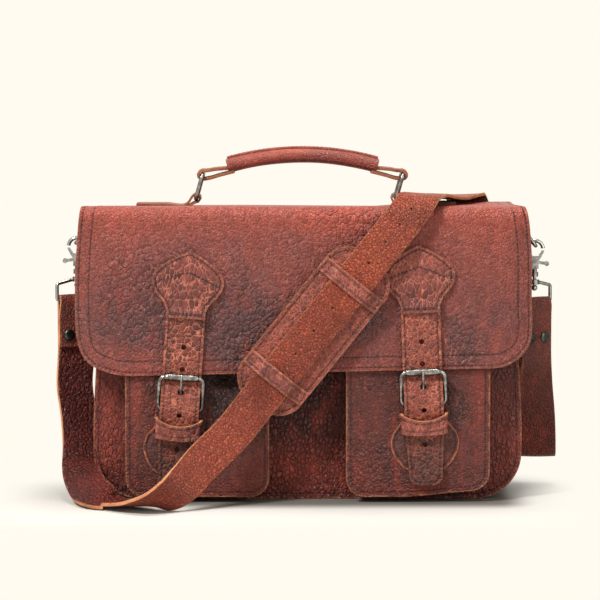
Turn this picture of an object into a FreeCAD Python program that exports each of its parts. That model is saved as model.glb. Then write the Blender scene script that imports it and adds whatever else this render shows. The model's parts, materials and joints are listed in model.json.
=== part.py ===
import FreeCAD, Part
import math
import os

from FreeCAD import Placement, Rotation, Vector

# A leather satchel, in millimetres. +X is to the right, +Y to the back and +Z up.
# The origin is the middle of the base, on the surface that the bag stands on.

SIZES = [
    # the main compartment
    ("body_width", 380, "outer width of the front and back panels"),
    ("body_depth", 90, "from the front panel's face to the back panel's face"),
    ("front_height", 246, "top edge of the front panel"),
    ("back_height", 262, "top edge of the back panel"),
    ("panel_leather", 3, "thickness of the panels"),
    ("panel_corner", 48, "radius of the lower panel corners"),
    ("seam_inset", 4, "how far the panels stand proud of the gusset"),
    ("gusset_leather", 3, "thickness of the gusset"),
    ("gusset_height", 246, "top edge of the gusset"),
    ("gusset_joint", 64, "height at which the base strip meets the side gussets"),
    # the flap
    ("flap_width", 405, "width of the flap"),
    ("flap_shift", -3.5, "the flap sits a little off centre"),
    ("flap_top", 266, "height of the flap's top face"),
    ("flap_bottom", 115, "height of the flap's lower edge"),
    ("flap_leather", 3.2, "thickness of the flap"),
    ("flap_gap", 0.5, "air between the flap and the pockets"),
    ("flap_corner", 33, "radius of the flap's lower corners"),
    ("flap_fold", 9, "outer radius of the fold at the top front"),
    # the two front pockets
    ("pocket_width", 124, "outer width of a pocket"),
    ("pocket_spacing", 198, "distance between the middles of the pockets"),
    ("pocket_base", 5, "height of a pocket's lower edge"),
    ("pocket_top", 125, "height of a pocket's mouth"),
    ("pocket_depth", 22, "how far a pocket stands out of the front panel"),
    ("pocket_corner", 15, "radius of the lower pocket corners"),
    ("pocket_leather", 3, "thickness of a pocket's front"),
    ("pocket_gusset_leather", 2.5, "thickness of a pocket's gusset"),
    ("pocket_inset", 3, "how far the pocket's front stands proud of its gusset"),
    # the two closures
    ("billet_width", 35, "width of a closing strap"),
    ("billet_leather", 3.2, "thickness of a closing strap"),
    ("billet_top", 83, "closing strap's upper end above the buckle bar"),
    ("billet_tip", 66, "closing strap's tip below the buckle bar"),
    ("billet_hole", 5, "diameter of a punched hole"),
    ("hole_pitch", 20.5, "distance between punched holes"),
    ("patch_leather", 2.2, "thickness of the spade patches and keepers"),
    ("upper_patch_height", 60, "height of the spade patch on the flap"),
    ("upper_patch_half", 32, "half the width of that patch"),
    ("lower_patch_height", 66, "height of the spade patch on the pocket"),
    ("lower_patch_half", 30.5, "half the width of that patch"),
    ("buckle_wire", 3.2, "wire diameter of a buckle"),
    ("buckle_length", 30, "from the bar to the roller, middle to middle"),
    ("buckle_room", 1, "space beside the strap in the buckle"),
    ("buckle_corner", 4, "corner radius of a buckle's wire"),
    ("roller_diameter", 5.5, "outer diameter of a roller"),
    ("prong_wire", 2.8, "wire diameter of a prong"),
    ("bar_fold_gap", 0.35, "running clearance round a wire"),
    ("keeper_height", 9, "height of a keeper band"),
    ("keeper_drop", 9, "from the buckle bar down to the keeper"),
    ("left_closure_x", -114.4, "place of the left buckle bar"),
    ("left_closure_z", 84, "height of the left buckle bar"),
    ("left_closure_lean", 3.9, "lean of the left closing strap in degrees"),
    ("right_closure_x", 103.8, "place of the right buckle bar"),
    ("right_closure_z", 89, "height of the right buckle bar"),
    ("right_closure_lean", -2.2, "lean of the right closing strap in degrees"),
    # the handle
    ("handle_middle", -10.4, "middle of the handle's two feet"),
    ("handle_y", -12, "place of the handle on the flap's top"),
    ("handle_span", 181, "distance between the two handle rings"),
    ("handle_width", 22, "width of the handle strap"),
    ("handle_leather", 3.2, "thickness of the handle strap"),
    ("handle_rise", 13.2, "how far the handle strap arches up"),
    ("grip_length", 137, "length of the padded grip"),
    ("grip_width", 26, "width of the padded grip"),
    ("grip_wall", 2, "leather of the padded grip"),
    ("core_height", 5, "height of the filler above the handle strap"),
    ("ring_wire", 3.8, "wire diameter of a handle ring"),
    ("ring_length", 22, "from bar to bar of a handle ring"),
    ("ring_lean", 15.5, "lean of the rings at rest in degrees"),
    ("ring_gap", 0.45, "clearance round a handle ring's bars"),
    ("foot_leather", 2.4, "leather of a handle foot"),
    ("foot_length", 54, "length of a handle foot from its ring outward"),
    # the side hardware
    ("tab_width", 22, "width of a side tab"),
    ("tab_leather", 2.4, "leather of a side tab"),
    ("tab_length", 44, "from the D-ring's bar to the tab's lower end"),
    ("tab_height", 249, "height of the D-ring's bar"),
    ("dring_wire", 3.5, "wire diameter of a D-ring"),
    ("dring_reach", 28, "from a D-ring's bar to its far side"),
    ("left_dring_lean", 46, "how far the left D-ring leans out in degrees"),
    ("right_dring_lean", 38, "how far the right D-ring leans out in degrees"),
    ("hook_radius", 7.6, "middle radius of a snap hook's eye"),
    ("hook_wire", 3.5, "wire diameter of a snap hook's eye"),
    ("hook_gap", 0.3, "air between a D-ring and the hook's eye"),
    ("loop_wire", 3.2, "wire diameter of a swivel loop"),
    ("left_loop_turn", 24, "turn of the left swivel loop in degrees"),
    ("right_loop_turn", 38, "turn of the right swivel loop in degrees"),
    # the shoulder strap and its pad
    ("strap_width", 35, "width of the shoulder strap"),
    ("strap_leather", 3.2, "thickness of the shoulder strap"),
    ("strap_fold", 46, "length of the strap's folded ends"),
    ("rivet_edge", 9, "distance of the end rivets from the strap's edges"),
    ("strap_gap", 0.5, "air between the closing straps and the shoulder strap"),
    ("pad_width", 66, "width of the shoulder pad"),
    ("pad_length", 166, "length of the shoulder pad"),
    ("pad_corner", 24, "corner radius of the shoulder pad"),
    ("pad_leather", 7, "thickness of the shoulder pad"),
    ("pad_bridge", 14, "length of a bridge on the pad"),
    ("bridge_spacing", 106, "distance between the pad's two bridges"),
    ("bridge_leather", 2.2, "leather of a bridge"),
]

SIDES = (("left", -1), ("right", 1))
X_AXIS = Vector(1, 0, 0)
Y_AXIS = Vector(0, 1, 0)
Z_AXIS = Vector(0, 0, 1)

doc = FreeCAD.newDocument("Satchel")
sheet = doc.addObject("Spreadsheet::Sheet", "Sizes")
for row, (alias, value, note) in enumerate(SIZES, 1):
    sheet.set(f"A{row}", alias)
    sheet.set(f"B{row}", str(value))
    sheet.set(f"C{row}", note)
    sheet.setAlias(f"B{row}", alias)
doc.recompute()

pieces = []


def size(alias):
    """The value of one driving dimension."""
    return float(sheet.get(alias))


def keep(piece, label):
    """Name a finished sub-part and list it for export."""
    piece.Label = label
    pieces.append(piece)
    return piece


# ---------------------------------------------------------------- helpers


def plane_of(body, role):
    """One of a body's own origin planes."""
    for feature in body.Origin.OriginFeatures:
        if feature.Role == role:
            return feature
    raise ValueError(role)


def sketched(name, role, edges, length):
    """A body padded by the expression length from edges drawn on one of its origin planes."""
    body = doc.addObject("PartDesign::Body", name)
    sketch = body.newObject("Sketcher::SketchObject", name + "_outline")
    sketch.AttachmentSupport = [(plane_of(body, role), "")]
    sketch.MapMode = "FlatFace"
    for edge in edges:
        sketch.addGeometry(edge, False)
    pad = body.newObject("PartDesign::Pad", name + "_pad")
    pad.Profile = sketch
    pad.setExpression("Length", length)
    doc.recompute()
    return body


def rounded(body, name, radius, chosen):
    """Round those edges of a body's tip that chosen picks, by the expression radius."""
    tip = body.Tip
    names = [f"Edge{n}" for n, edge in enumerate(tip.Shape.Edges, 1) if chosen(edge)]
    fillet = body.newObject("PartDesign::Fillet", name)
    fillet.Base = (tip, names)
    fillet.setExpression("Radius", radius)
    doc.recompute()
    return body


def line(x1, y1, x2, y2):
    """A straight sketch edge."""
    return Part.LineSegment(Vector(x1, y1, 0), Vector(x2, y2, 0))


def arc(p, q, r):
    """A sketch arc through three (x, y) points."""
    return Part.Arc(Vector(*p, 0), Vector(*q, 0), Vector(*r, 0))


def rectangle(left, bottom, right, top):
    """The four edges of a sketched rectangle."""
    return [
        line(left, bottom, right, bottom),
        line(right, bottom, right, top),
        line(right, top, left, top),
        line(left, top, left, bottom),
    ]


def trough(half, bottom, top, radius, wall):
    """Edges of a U-shaped strip seen from the front, open at the top."""
    inner = radius - wall
    low = bottom + radius
    near = half - radius
    bend = radius * math.sqrt(0.5)
    tight = inner * math.sqrt(0.5)
    return [
        line(-half, top, -half, low),
        arc((-half, low), (-near - bend, low - bend), (-near, bottom)),
        line(-near, bottom, near, bottom),
        arc((near, bottom), (near + bend, low - bend), (half, low)),
        line(half, low, half, top),
        line(half, top, half - wall, top),
        line(half - wall, top, half - wall, low),
        arc((half - wall, low), (near + tight, low - tight), (near, bottom + wall)),
        line(near, bottom + wall, -near, bottom + wall),
        arc((-near, bottom + wall), (-near - tight, low - tight), (wall - half, low)),
        line(wall - half, low, wall - half, top),
        line(wall - half, top, -half, top),
    ]


def spade(neck, half, height, way):
    """Edges of a spade-shaped patch: a neck at 0 that widens, then closes to a point at height."""
    waist = 0.1 * height
    wide = 0.55 * height
    edges = []
    for hand in (-1, 1):
        foot = (hand * neck, 0)
        start = (hand * neck, way * waist)
        flare = (hand * (neck + 0.32 * (half - neck)), way * 0.31 * height)
        widest = (hand * half, way * wide)
        shoulder = (hand * 0.66 * half, way * 0.86 * height)
        edges += [
            line(*foot, *start),
            arc(start, flare, widest),
            arc(widest, shoulder, (0, way * height)),
        ]
    edges.append(line(-neck, 0, neck, 0))
    return edges


def rod(path, radius):
    """A round wire swept along joined edges that start with a straight one."""
    spine = Part.Wire(path)
    start = path[0].valueAt(path[0].FirstParameter)
    way = path[0].tangentAt(path[0].FirstParameter)
    profile = Part.Wire(Part.makeCircle(radius, start, way))
    return spine.makePipeShell([profile], True, False)


def bent_path(points, radius, closed):
    """Straight runs through points, joined by tangent arcs of one radius."""
    count = len(points)
    runs = []
    bends = {}
    for n in range(count) if closed else range(1, count - 1):
        here = points[n]
        back = (points[n - 1] - here).normalize()
        ahead = (points[(n + 1) % count] - here).normalize()
        half = back.getAngle(ahead) / 2
        cut = radius / math.tan(half)
        middle = (back + ahead).normalize() * (radius / math.sin(half) - radius)
        bends[n] = (here + back * cut, here + middle, here + ahead * cut)
    if closed:
        start = (points[0] + points[1]) * 0.5
        order = list(range(1, count)) + [0]
        end = start
    else:
        start = points[0]
        order = list(range(1, count - 1))
        end = points[-1]
    for n in order:
        enter, top, leave = bends[n]
        runs.append(Part.makeLine(start, enter))
        runs.append(Part.Arc(enter, top, leave).toShape())
        start = leave
    runs.append(Part.makeLine(start, end))
    return runs


def tube(outer, inner, length, start, way):
    """A round tube."""
    whole = Part.makeCylinder(outer, length, start, way)
    return whole.cut(Part.makeCylinder(inner, length, start, way))


def block(x1, y1, z1, x2, y2, z2):
    """A box between two corners."""
    return Part.makeBox(x2 - x1, y2 - y1, z2 - z1, Vector(x1, y1, z1))


def solid(label, shape, placement=Placement()):
    """A sub-part with a shape of its own."""
    piece = doc.addObject("Part::Feature", label)
    piece.Shape = shape.removeSplitter() if shape.ShapeType != "Compound" else shape
    piece.Placement = placement
    return keep(piece, label)


def ribbon(stations, width, thickness):
    """A flat strap through stations of (middle, direction across, face normal)."""
    outlines = []
    for middle, across, normal in stations:
        side = across * (width / 2)
        face = normal * (thickness / 2)
        corners = [side + face, face - side, (side + face) * -1, side - face]
        outlines.append(Part.makePolygon([middle + c for c in corners + corners[:1]]))
    return Part.makeLoft(outlines, True, True)


# ---------------------------------------------------------------- layers in depth

half_depth = size("body_depth") / 2
pocket_face = -half_depth - size("pocket_depth")
flap_back = pocket_face - size("flap_gap")
flap_face = flap_back - size("flap_leather")
billet_face = flap_face - size("billet_leather")
hinge_y = half_depth - size("flap_leather") / 2
hinge_z = size("flap_top") - size("flap_leather") / 2


# ---------------------------------------------------------------- main compartment


def panel(label, height, face):
    """A front or back panel with rounded lower corners; face is the y of its front side."""
    half = size("body_width") / 2
    edges = rectangle(-half, 0, half, size(height))
    body = sketched(label, "XZ_Plane", edges, "Sizes.panel_leather")
    rounded(
        body,
        label + "_corners",
        "Sizes.panel_corner",
        lambda e: e.BoundBox.ZMax < 0.01 and e.BoundBox.XLength < 0.01,
    )
    body.setExpression("Placement.Base.y", face + " + Sizes.panel_leather")
    return keep(body, label)


panel("front_panel", "front_height", "-Sizes.body_depth / 2")
panel("back_panel", "back_height", "Sizes.body_depth / 2 - Sizes.panel_leather")

# the panels stand proud of the gusset at the sides, and its underside lies flat on the ground
gusset_half = size("body_width") / 2 - size("seam_inset")
gusset_depth = "(Sizes.body_depth - 2 * Sizes.panel_leather)"
base = sketched(
    "base_gusset",
    "XZ_Plane",
    trough(
        gusset_half,
        0,
        size("gusset_joint"),
        size("panel_corner") - size("seam_inset"),
        size("gusset_leather"),
    ),
    gusset_depth,
)
base.setExpression("Placement.Base.y", gusset_depth + " / 2")
keep(base, "base_gusset")

# the side gussets are drilled for the rivets of the side tabs
rivet_shank = 1.5
tab_rivet_z = size("tab_height") - 0.7 * size("tab_length")
for name, hand in SIDES:
    wall = doc.addObject("Part::Box", name + "_gusset_wall")
    wall.setExpression("Length", "Sizes.gusset_leather")
    wall.setExpression("Width", gusset_depth)
    wall.setExpression("Height", "Sizes.gusset_height - Sizes.gusset_joint")
    outside = "Sizes.body_width / 2 - Sizes.seam_inset"
    left_face = f"-({outside})" if hand < 0 else f"{outside} - Sizes.gusset_leather"
    wall.setExpression("Placement.Base.x", left_face)
    wall.setExpression("Placement.Base.y", "-" + gusset_depth + " / 2")
    wall.setExpression("Placement.Base.z", "Sizes.gusset_joint")
    drill = doc.addObject("Part::Cylinder", name + "_gusset_drill")
    drill.Radius = rivet_shank
    drill.setExpression("Height", "4 * Sizes.gusset_leather")
    drill.Placement = Placement(
        Vector(hand * gusset_half - 2 * size("gusset_leather"), 0, tab_rivet_z),
        Rotation(Y_AXIS, 90),
    )
    holed = doc.addObject("Part::Cut", name + "_gusset")
    holed.Base = wall
    holed.Tool = drill
    keep(holed, name + "_gusset")

# ---------------------------------------------------------------- front pockets

for name, hand in SIDES:
    half = size("pocket_width") / 2
    middle = f"{hand} * Sizes.pocket_spacing / 2"
    front = sketched(
        name + "_pocket_front",
        "XZ_Plane",
        rectangle(-half, size("pocket_base"), half, size("pocket_top")),
        "Sizes.pocket_leather",
    )
    rounded(
        front,
        name + "_pocket_corners",
        "Sizes.pocket_corner",
        lambda e: e.BoundBox.ZMax < size("pocket_base") + 0.01
        and e.BoundBox.XLength < 0.01,
    )
    front.setExpression("Placement.Base.x", middle)
    front.setExpression(
        "Placement.Base.y",
        "-Sizes.body_depth / 2 - Sizes.pocket_depth + Sizes.pocket_leather",
    )
    keep(front, name + "_pocket_front")
    strip = sketched(
        name + "_pocket_gusset",
        "XZ_Plane",
        trough(
            half - size("pocket_inset"),
            size("pocket_base") + size("pocket_inset"),
            size("pocket_top"),
            size("pocket_corner") - size("pocket_inset"),
            size("pocket_gusset_leather"),
        ),
        "Sizes.pocket_depth - Sizes.pocket_leather",
    )
    strip.setExpression("Placement.Base.x", middle)
    strip.setExpression("Placement.Base.y", "-Sizes.body_depth / 2")
    keep(strip, name + "_pocket_gusset")

# ---------------------------------------------------------------- flap

fold = size("flap_fold")
inner_fold = fold - size("flap_leather")
fold_y = flap_face + fold
fold_z = size("flap_top") - fold
flap_under = size("flap_top") - size("flap_leather")
diagonal = math.sqrt(0.5)
flap = sketched(
    "flap",
    "YZ_Plane",
    [
        line(hinge_y, size("flap_top"), fold_y, size("flap_top")),
        arc(
            (fold_y, size("flap_top")),
            (fold_y - fold * diagonal, fold_z + fold * diagonal),
            (flap_face, fold_z),
        ),
        line(flap_face, fold_z, flap_face, size("flap_bottom")),
        line(flap_face, size("flap_bottom"), flap_back, size("flap_bottom")),
        line(flap_back, size("flap_bottom"), flap_back, fold_z),
        arc(
            (flap_back, fold_z),
            (fold_y - inner_fold * diagonal, fold_z + inner_fold * diagonal),
            (fold_y, flap_under),
        ),
        line(fold_y, flap_under, hinge_y, flap_under),
        arc((hinge_y, flap_under), (half_depth, hinge_z), (hinge_y, size("flap_top"))),
    ],
    "Sizes.flap_width",
)
rounded(
    flap,
    "flap_corners",
    "Sizes.flap_corner",
    lambda e: e.BoundBox.ZMax < size("flap_bottom") + 0.01
    and e.BoundBox.XLength < 0.01
    and e.BoundBox.YLength > 0.01,
)
flap.setExpression("Placement.Base.x", "-Sizes.flap_width / 2 + Sizes.flap_shift")
keep(flap, "flap")

# ---------------------------------------------------------------- closures
# Each closure is drawn about its buckle bar: x along the bar, z up the strap, y as in the bag.

wire = size("buckle_wire") / 2
gap = size("bar_fold_gap")
fold_bore = wire + gap
fold_outer = fold_bore + size("patch_leather")
bar_y = pocket_face - fold_outer
patch_face = pocket_face - size("patch_leather")
bulge = bar_y - fold_outer - gap
roller = size("roller_diameter") / 2
roller_y = billet_face - 0.4 - roller
reach = size("buckle_length")
billet_half = size("billet_width") / 2
keeper_top = -size("keeper_drop")
keeper_low = keeper_top - size("keeper_height")
keeper_inner = pocket_face - 10
slot_half = 4
# heights above the buckle bar, in hole pitches, of the holes that aren't in use
spare_holes = (2.8, 1.8, -0.2, -1.7)
prong_slot = (1.5, 21)


def closing_strap():
    """A closing strap that dips behind the roller and bulges over the buckle bar."""
    back = [
        (flap_face, size("billet_top")),
        (flap_face, reach - 5),
        (bulge, 5),
        (bulge, -3),
        (pocket_face - 5, -12),
        (patch_face - 0.8, -22),
        (patch_face - 0.5, -size("billet_tip")),
    ]
    front = [(y - size("billet_leather"), z) for y, z in reversed(back)]
    outline = [Vector(-billet_half, y, z) for y, z in back + front + back[:1]]
    strap = Part.Face(Part.makePolygon(outline)).extrude(
        X_AXIS * size("billet_width")
    )
    hole = size("billet_hole") / 2
    pitch = size("hole_pitch")
    start_y = bulge - 10
    deep = 30
    for place in spare_holes:
        drill = Part.makeCylinder(hole, deep, Vector(0, start_y, pitch * place), Y_AXIS)
        strap = strap.cut(drill)
    slot = block(-hole, start_y, prong_slot[0], hole, start_y + deep, prong_slot[1])
    return strap.cut(slot)


def buckle_frame():
    """The rectangular wire of a buckle, from its bar to the bar inside the roller."""
    side = billet_half + size("buckle_room") / 2 + wire
    corners = [
        Vector(-side, bar_y, 0),
        Vector(side, bar_y, 0),
        Vector(side, roller_y, reach),
        Vector(-side, roller_y, reach),
    ]
    return rod(bent_path(corners, size("buckle_corner"), True), wire)


def buckle_roller():
    """The sleeve that turns on the buckle's far bar."""
    length = size("billet_width") - 2 * size("buckle_corner") + 4
    return tube(roller, fold_bore, length, Vector(-length / 2, roller_y, reach), X_AXIS)


def buckle_prong():
    """The prong: an eye round the bar and a shank that rests on the roller."""
    thick = size("prong_wire") / 2
    width = 2 * thick + 1
    eye = fold_bore + 1.5
    tip = Vector(0, roller_y - roller - thick - 0.85, reach + 2)
    root = Vector(0, bar_y - fold_bore - 0.6, 0)
    way = tip - root
    shank = Part.makeCylinder(thick, way.Length, root, way)
    shank = shank.fuse(Part.makeSphere(thick, tip))
    start = Vector(-width / 2, bar_y, 0)
    hub = Part.makeCylinder(eye, width, start, X_AXIS)
    bore = Part.makeCylinder(fold_bore, width, start, X_AXIS)
    return hub.fuse(shank).cut(bore)


def lower_patch():
    """The spade patch on the pocket, whose upper end is folded round the buckle bar."""
    edges = spade(
        billet_half + 2.9, size("lower_patch_half"), size("lower_patch_height"), -1
    )
    outline = Part.Wire(Part.__sortEdges__([edge.toShape() for edge in edges]))
    plate = Part.Face(outline).extrude(Z_AXIS * size("patch_leather"))
    plate.rotate(Vector(), X_AXIS, 90)
    plate.translate(Vector(0, pocket_face, 0))
    length = 2 * (billet_half - 2)
    start = Vector(-length / 2, bar_y, 0)
    folded = Part.makeCylinder(fold_outer, length, start, X_AXIS)
    bore = Part.makeCylinder(fold_bore, length, start, X_AXIS)
    slot = block(-slot_half, bulge - 1, -5, slot_half, pocket_face + 1, 6)
    return plate.fuse(folded).cut(bore).cut(slot)


def keeper():
    """The band that holds the closing strap's end flat."""
    inner = billet_half + 0.6
    outer = inner + size("patch_leather")
    front = keeper_inner - size("patch_leather")
    band = block(-outer, front, keeper_low, outer, patch_face, keeper_top)
    soft = [e for e in band.Edges if e.BoundBox.ZLength > 1 and e.BoundBox.YMax < front + 1]
    band = band.makeFillet(2, soft)
    return band.cut(
        block(-inner, keeper_inner, keeper_low, inner, patch_face, keeper_top)
    )


for name, hand in SIDES:
    lean = size(name + "_closure_lean")
    foot = Vector(size(name + "_closure_x"), 0, size(name + "_closure_z"))
    stand = Placement(foot, Rotation(Y_AXIS, lean))
    upper = sketched(
        name + "_upper_patch",
        "XZ_Plane",
        spade(
            billet_half, size("upper_patch_half"), size("upper_patch_height"), 1
        ),
        "Sizes.patch_leather",
    )
    upper.Placement = stand.multiply(
        Placement(Vector(0, flap_face, size("billet_top")), Rotation())
    )
    keep(upper, name + "_upper_patch")
    solid(name + "_closing_strap", closing_strap(), stand)
    solid(name + "_buckle_frame", buckle_frame(), stand)
    solid(name + "_buckle_roller", buckle_roller(), stand)
    solid(name + "_buckle_prong", buckle_prong(), stand)
    solid(name + "_lower_patch", lower_patch(), stand)
    solid(name + "_keeper", keeper(), stand)

# ---------------------------------------------------------------- handle

ring = size("ring_wire") / 2
ring_bore = ring + size("ring_gap")
foot_outer = ring_bore + size("foot_leather")
foot_z = size("flap_top") + foot_outer
handle_y = size("handle_y")
ring_half = size("handle_width") / 2 + 1 + ring
lean = math.radians(size("ring_lean"))
top_shift = size("ring_length") * math.sin(lean)
top_z = foot_z + size("ring_length") * math.cos(lean)
loop_outer = ring_bore + size("handle_leather") + 0.4
strap_half = size("handle_leather") / 2
arch_z = top_z + loop_outer - strap_half
half_span = size("handle_span") / 2
arch_radius = (half_span**2 + size("handle_rise") ** 2) / (2 * size("handle_rise"))
arch_middle = Vector(
    size("handle_middle") + top_shift,
    handle_y,
    arch_z + size("handle_rise") - arch_radius,
)


def arched(low, high, half_width, length):
    """A bar of rectangular section bent along the handle's arch, between two heights."""
    angle = math.degrees(length / arch_radius)
    corners = [
        Vector(0, -half_width, arch_radius + low),
        Vector(0, half_width, arch_radius + low),
        Vector(0, half_width, arch_radius + high),
        Vector(0, -half_width, arch_radius + high),
    ]
    section = Part.Face(Part.makePolygon(corners + corners[:1]))
    section.rotate(Vector(), Y_AXIS, -angle / 2)
    bar = section.revolve(Vector(), Y_AXIS, angle)
    bar.translate(arch_middle)
    return bar


for name, hand in SIDES:
    foot_x = size("handle_middle") + hand * half_span
    eye = Vector(foot_x, handle_y, foot_z)
    half = size("handle_width") / 2
    leather = block(
        min(foot_x, foot_x + hand * size("foot_length")),
        handle_y - half,
        size("flap_top"),
        max(foot_x, foot_x + hand * size("foot_length")),
        handle_y + half,
        size("flap_top") + size("foot_leather"),
    )
    start = eye - Y_AXIS * half
    folded = Part.makeCylinder(foot_outer, 2 * half, start, Y_AXIS)
    bore = Part.makeCylinder(ring_bore, 2 * half, start, Y_AXIS)
    solid(name + "_handle_foot", leather.fuse(folded).cut(bore))
    corners = [
        Vector(0, -ring_half, 0),
        Vector(0, ring_half, 0),
        Vector(0, ring_half, size("ring_length")),
        Vector(0, -ring_half, size("ring_length")),
    ]
    solid(
        name + "_handle_ring",
        rod(bent_path(corners, 3, True), ring),
        Placement(eye, Rotation(Y_AXIS, size("ring_lean"))),
    )

half = size("handle_width") / 2
carrier = arched(-strap_half, strap_half, half, 2 * half_span)
bores = []
for name, hand in SIDES:
    start = Vector(
        size("handle_middle") + top_shift + hand * half_span, handle_y - half, top_z
    )
    carrier = carrier.fuse(Part.makeCylinder(loop_outer, 2 * half, start, Y_AXIS))
    bores.append(Part.makeCylinder(ring_bore, 2 * half, start, Y_AXIS))
for bore in bores:
    carrier = carrier.cut(bore)
solid("handle_strap", carrier)

core_low = strap_half + 0.1
core_high = core_low + size("core_height")
solid("handle_core", arched(core_low, core_high, half - 1, 0.97 * size("grip_length")))

hollow = half + 0.3
wrap_low = -strap_half - 0.2
wrap_high = core_high + 0.2
wall = size("grip_wall")
wrap = arched(
    wrap_low - wall - 0.6, wrap_high + wall, size("grip_width") / 2, size("grip_length")
)
long_edges = [e for e in wrap.Edges if e.BoundBox.YLength < 0.01 and e.Length > 50]
wrap = wrap.makeFillet(wall, long_edges)
wrap = wrap.cut(arched(wrap_low, wrap_high, hollow, size("grip_length") + 2))
solid("handle_grip", wrap)

# ---------------------------------------------------------------- side tabs, D-rings and snap hooks

dwire = size("dring_wire") / 2
tab_bore = dwire + gap
tab_outer = tab_bore + size("tab_leather")
tab_half = size("tab_width") / 2
bar_x = gusset_half + tab_outer
hook_wire = size("hook_wire") / 2
hook_drop = size("hook_radius") - hook_wire - size("hook_gap") - dwire
loop_wire = size("loop_wire") / 2
loop_half = size("strap_width") / 2 + 0.4 + loop_wire
loop_bar = -49
post = 1.75


# heights below the middle of a snap hook's eye
lever_pin = Vector(-1.5, 0, -12)
stem_end = -18
neck_end = -21.2
shoulder_end = -25.2
collar_low = -32.4
collar_length = 4.4
loop_top = -30.2
loop_shoulder = -34
post_end = -35


def snap_hook():
    """The hook: an open eye on a slotted stem, over a swivel post with a ball end."""
    radius = size("hook_radius")
    start = math.radians(-70)
    end = math.radians(175)
    middle = (start + end) / 2
    points = [Vector(radius * math.cos(a), 0, radius * math.sin(a)) for a in (start, middle, end)]
    bow = Part.Arc(*points).toShape()
    way = bow.tangentAt(bow.FirstParameter)
    profile = Part.Wire(Part.makeCircle(hook_wire, points[0], way))
    hook = Part.Wire([bow]).makePipeShell([profile], True, False)
    stem_half = 2.25
    stem = block(-3.5, -stem_half, stem_end, 3.5, stem_half, -6.6)
    slot = block(-4, -1.2, stem_end + 1, 1.6, 1.2, -6)
    pin = Part.makeCylinder(1, 2 * stem_half, lever_pin - Y_AXIS * stem_half, Y_AXIS)
    stem = stem.cut(slot).fuse(pin)
    neck = Part.makeCylinder(2.2, 3.4, Vector(0, 0, neck_end), Z_AXIS)
    shoulder = Part.makeCylinder(3.4, 4.2, Vector(0, 0, shoulder_end), Z_AXIS)
    shaft = Part.makeCylinder(post, 10, Vector(0, 0, post_end), Z_AXIS)
    ball = Part.makeSphere(2.8, Vector(0, 0, post_end - 0.5))
    for piece in (stem, neck, shoulder, shaft, ball):
        hook = hook.fuse(piece)
    return hook


def hook_lever():
    """The sprung lever that closes the eye, with its thumb tab."""
    thick = 1
    pivot = lever_pin - Y_AXIS * thick
    thumb = Vector(-11, 0, -13.3)

    def bar(x1, z1, x2, z2, half):
        """A flat bar with round ends, along the hook's plane."""
        a = Vector(x1, -thick, z1)
        b = Vector(x2, -thick, z2)
        way = (b - a).normalize()
        side = Vector(way.z, 0, -way.x) * half
        outline = Part.makePolygon([a + side, b + side, b - side, a - side, a + side])
        flat = Part.Face(outline).extrude(Y_AXIS * 2 * thick)
        for end in (a, b):
            flat = flat.fuse(Part.makeCylinder(half, 2 * thick, end, Y_AXIS))
        return flat

    face = Vector(0, -thick, 0)
    outer = Part.makeCylinder(size("hook_radius") + 1.2, 2 * thick, face, Y_AXIS)
    inner = Part.makeCylinder(size("hook_radius") - 1.2, 2 * thick, face, Y_AXIS)
    gate = outer.cut(inner).common(block(-12, -2, -6.2, -4, 2, -1.3))
    lever = bar(-5.2, -6.2, lever_pin.x, lever_pin.z, 1.3).fuse(gate)
    lever = lever.fuse(bar(lever_pin.x, lever_pin.z, thumb.x, thumb.z, 1.4))
    lever = lever.fuse(Part.makeCylinder(2.2, 4, thumb - Y_AXIS * 2, Y_AXIS))
    lever = lever.fuse(Part.makeCylinder(2.3, 2 * thick, pivot, Y_AXIS))
    return lever.cut(Part.makeCylinder(1.15, 2 * thick, pivot, Y_AXIS))


def swivel_loop():
    """The loop that holds the strap, with the collar that turns on the hook's post."""
    collar_radius = 4.4
    collar_edge = 3.6
    path = bent_path(
        [
            Vector(-collar_edge, 0, loop_top),
            Vector(-loop_half, 0, loop_shoulder),
            Vector(-loop_half, 0, loop_bar),
            Vector(loop_half, 0, loop_bar),
            Vector(loop_half, 0, loop_shoulder),
            Vector(collar_edge, 0, loop_top),
        ],
        2.2,
        False,
    )
    start = Vector(0, 0, collar_low)
    collar = tube(collar_radius, post + 0.15, collar_length, start, Z_AXIS)
    return rod(path, loop_wire).fuse(collar)


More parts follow.
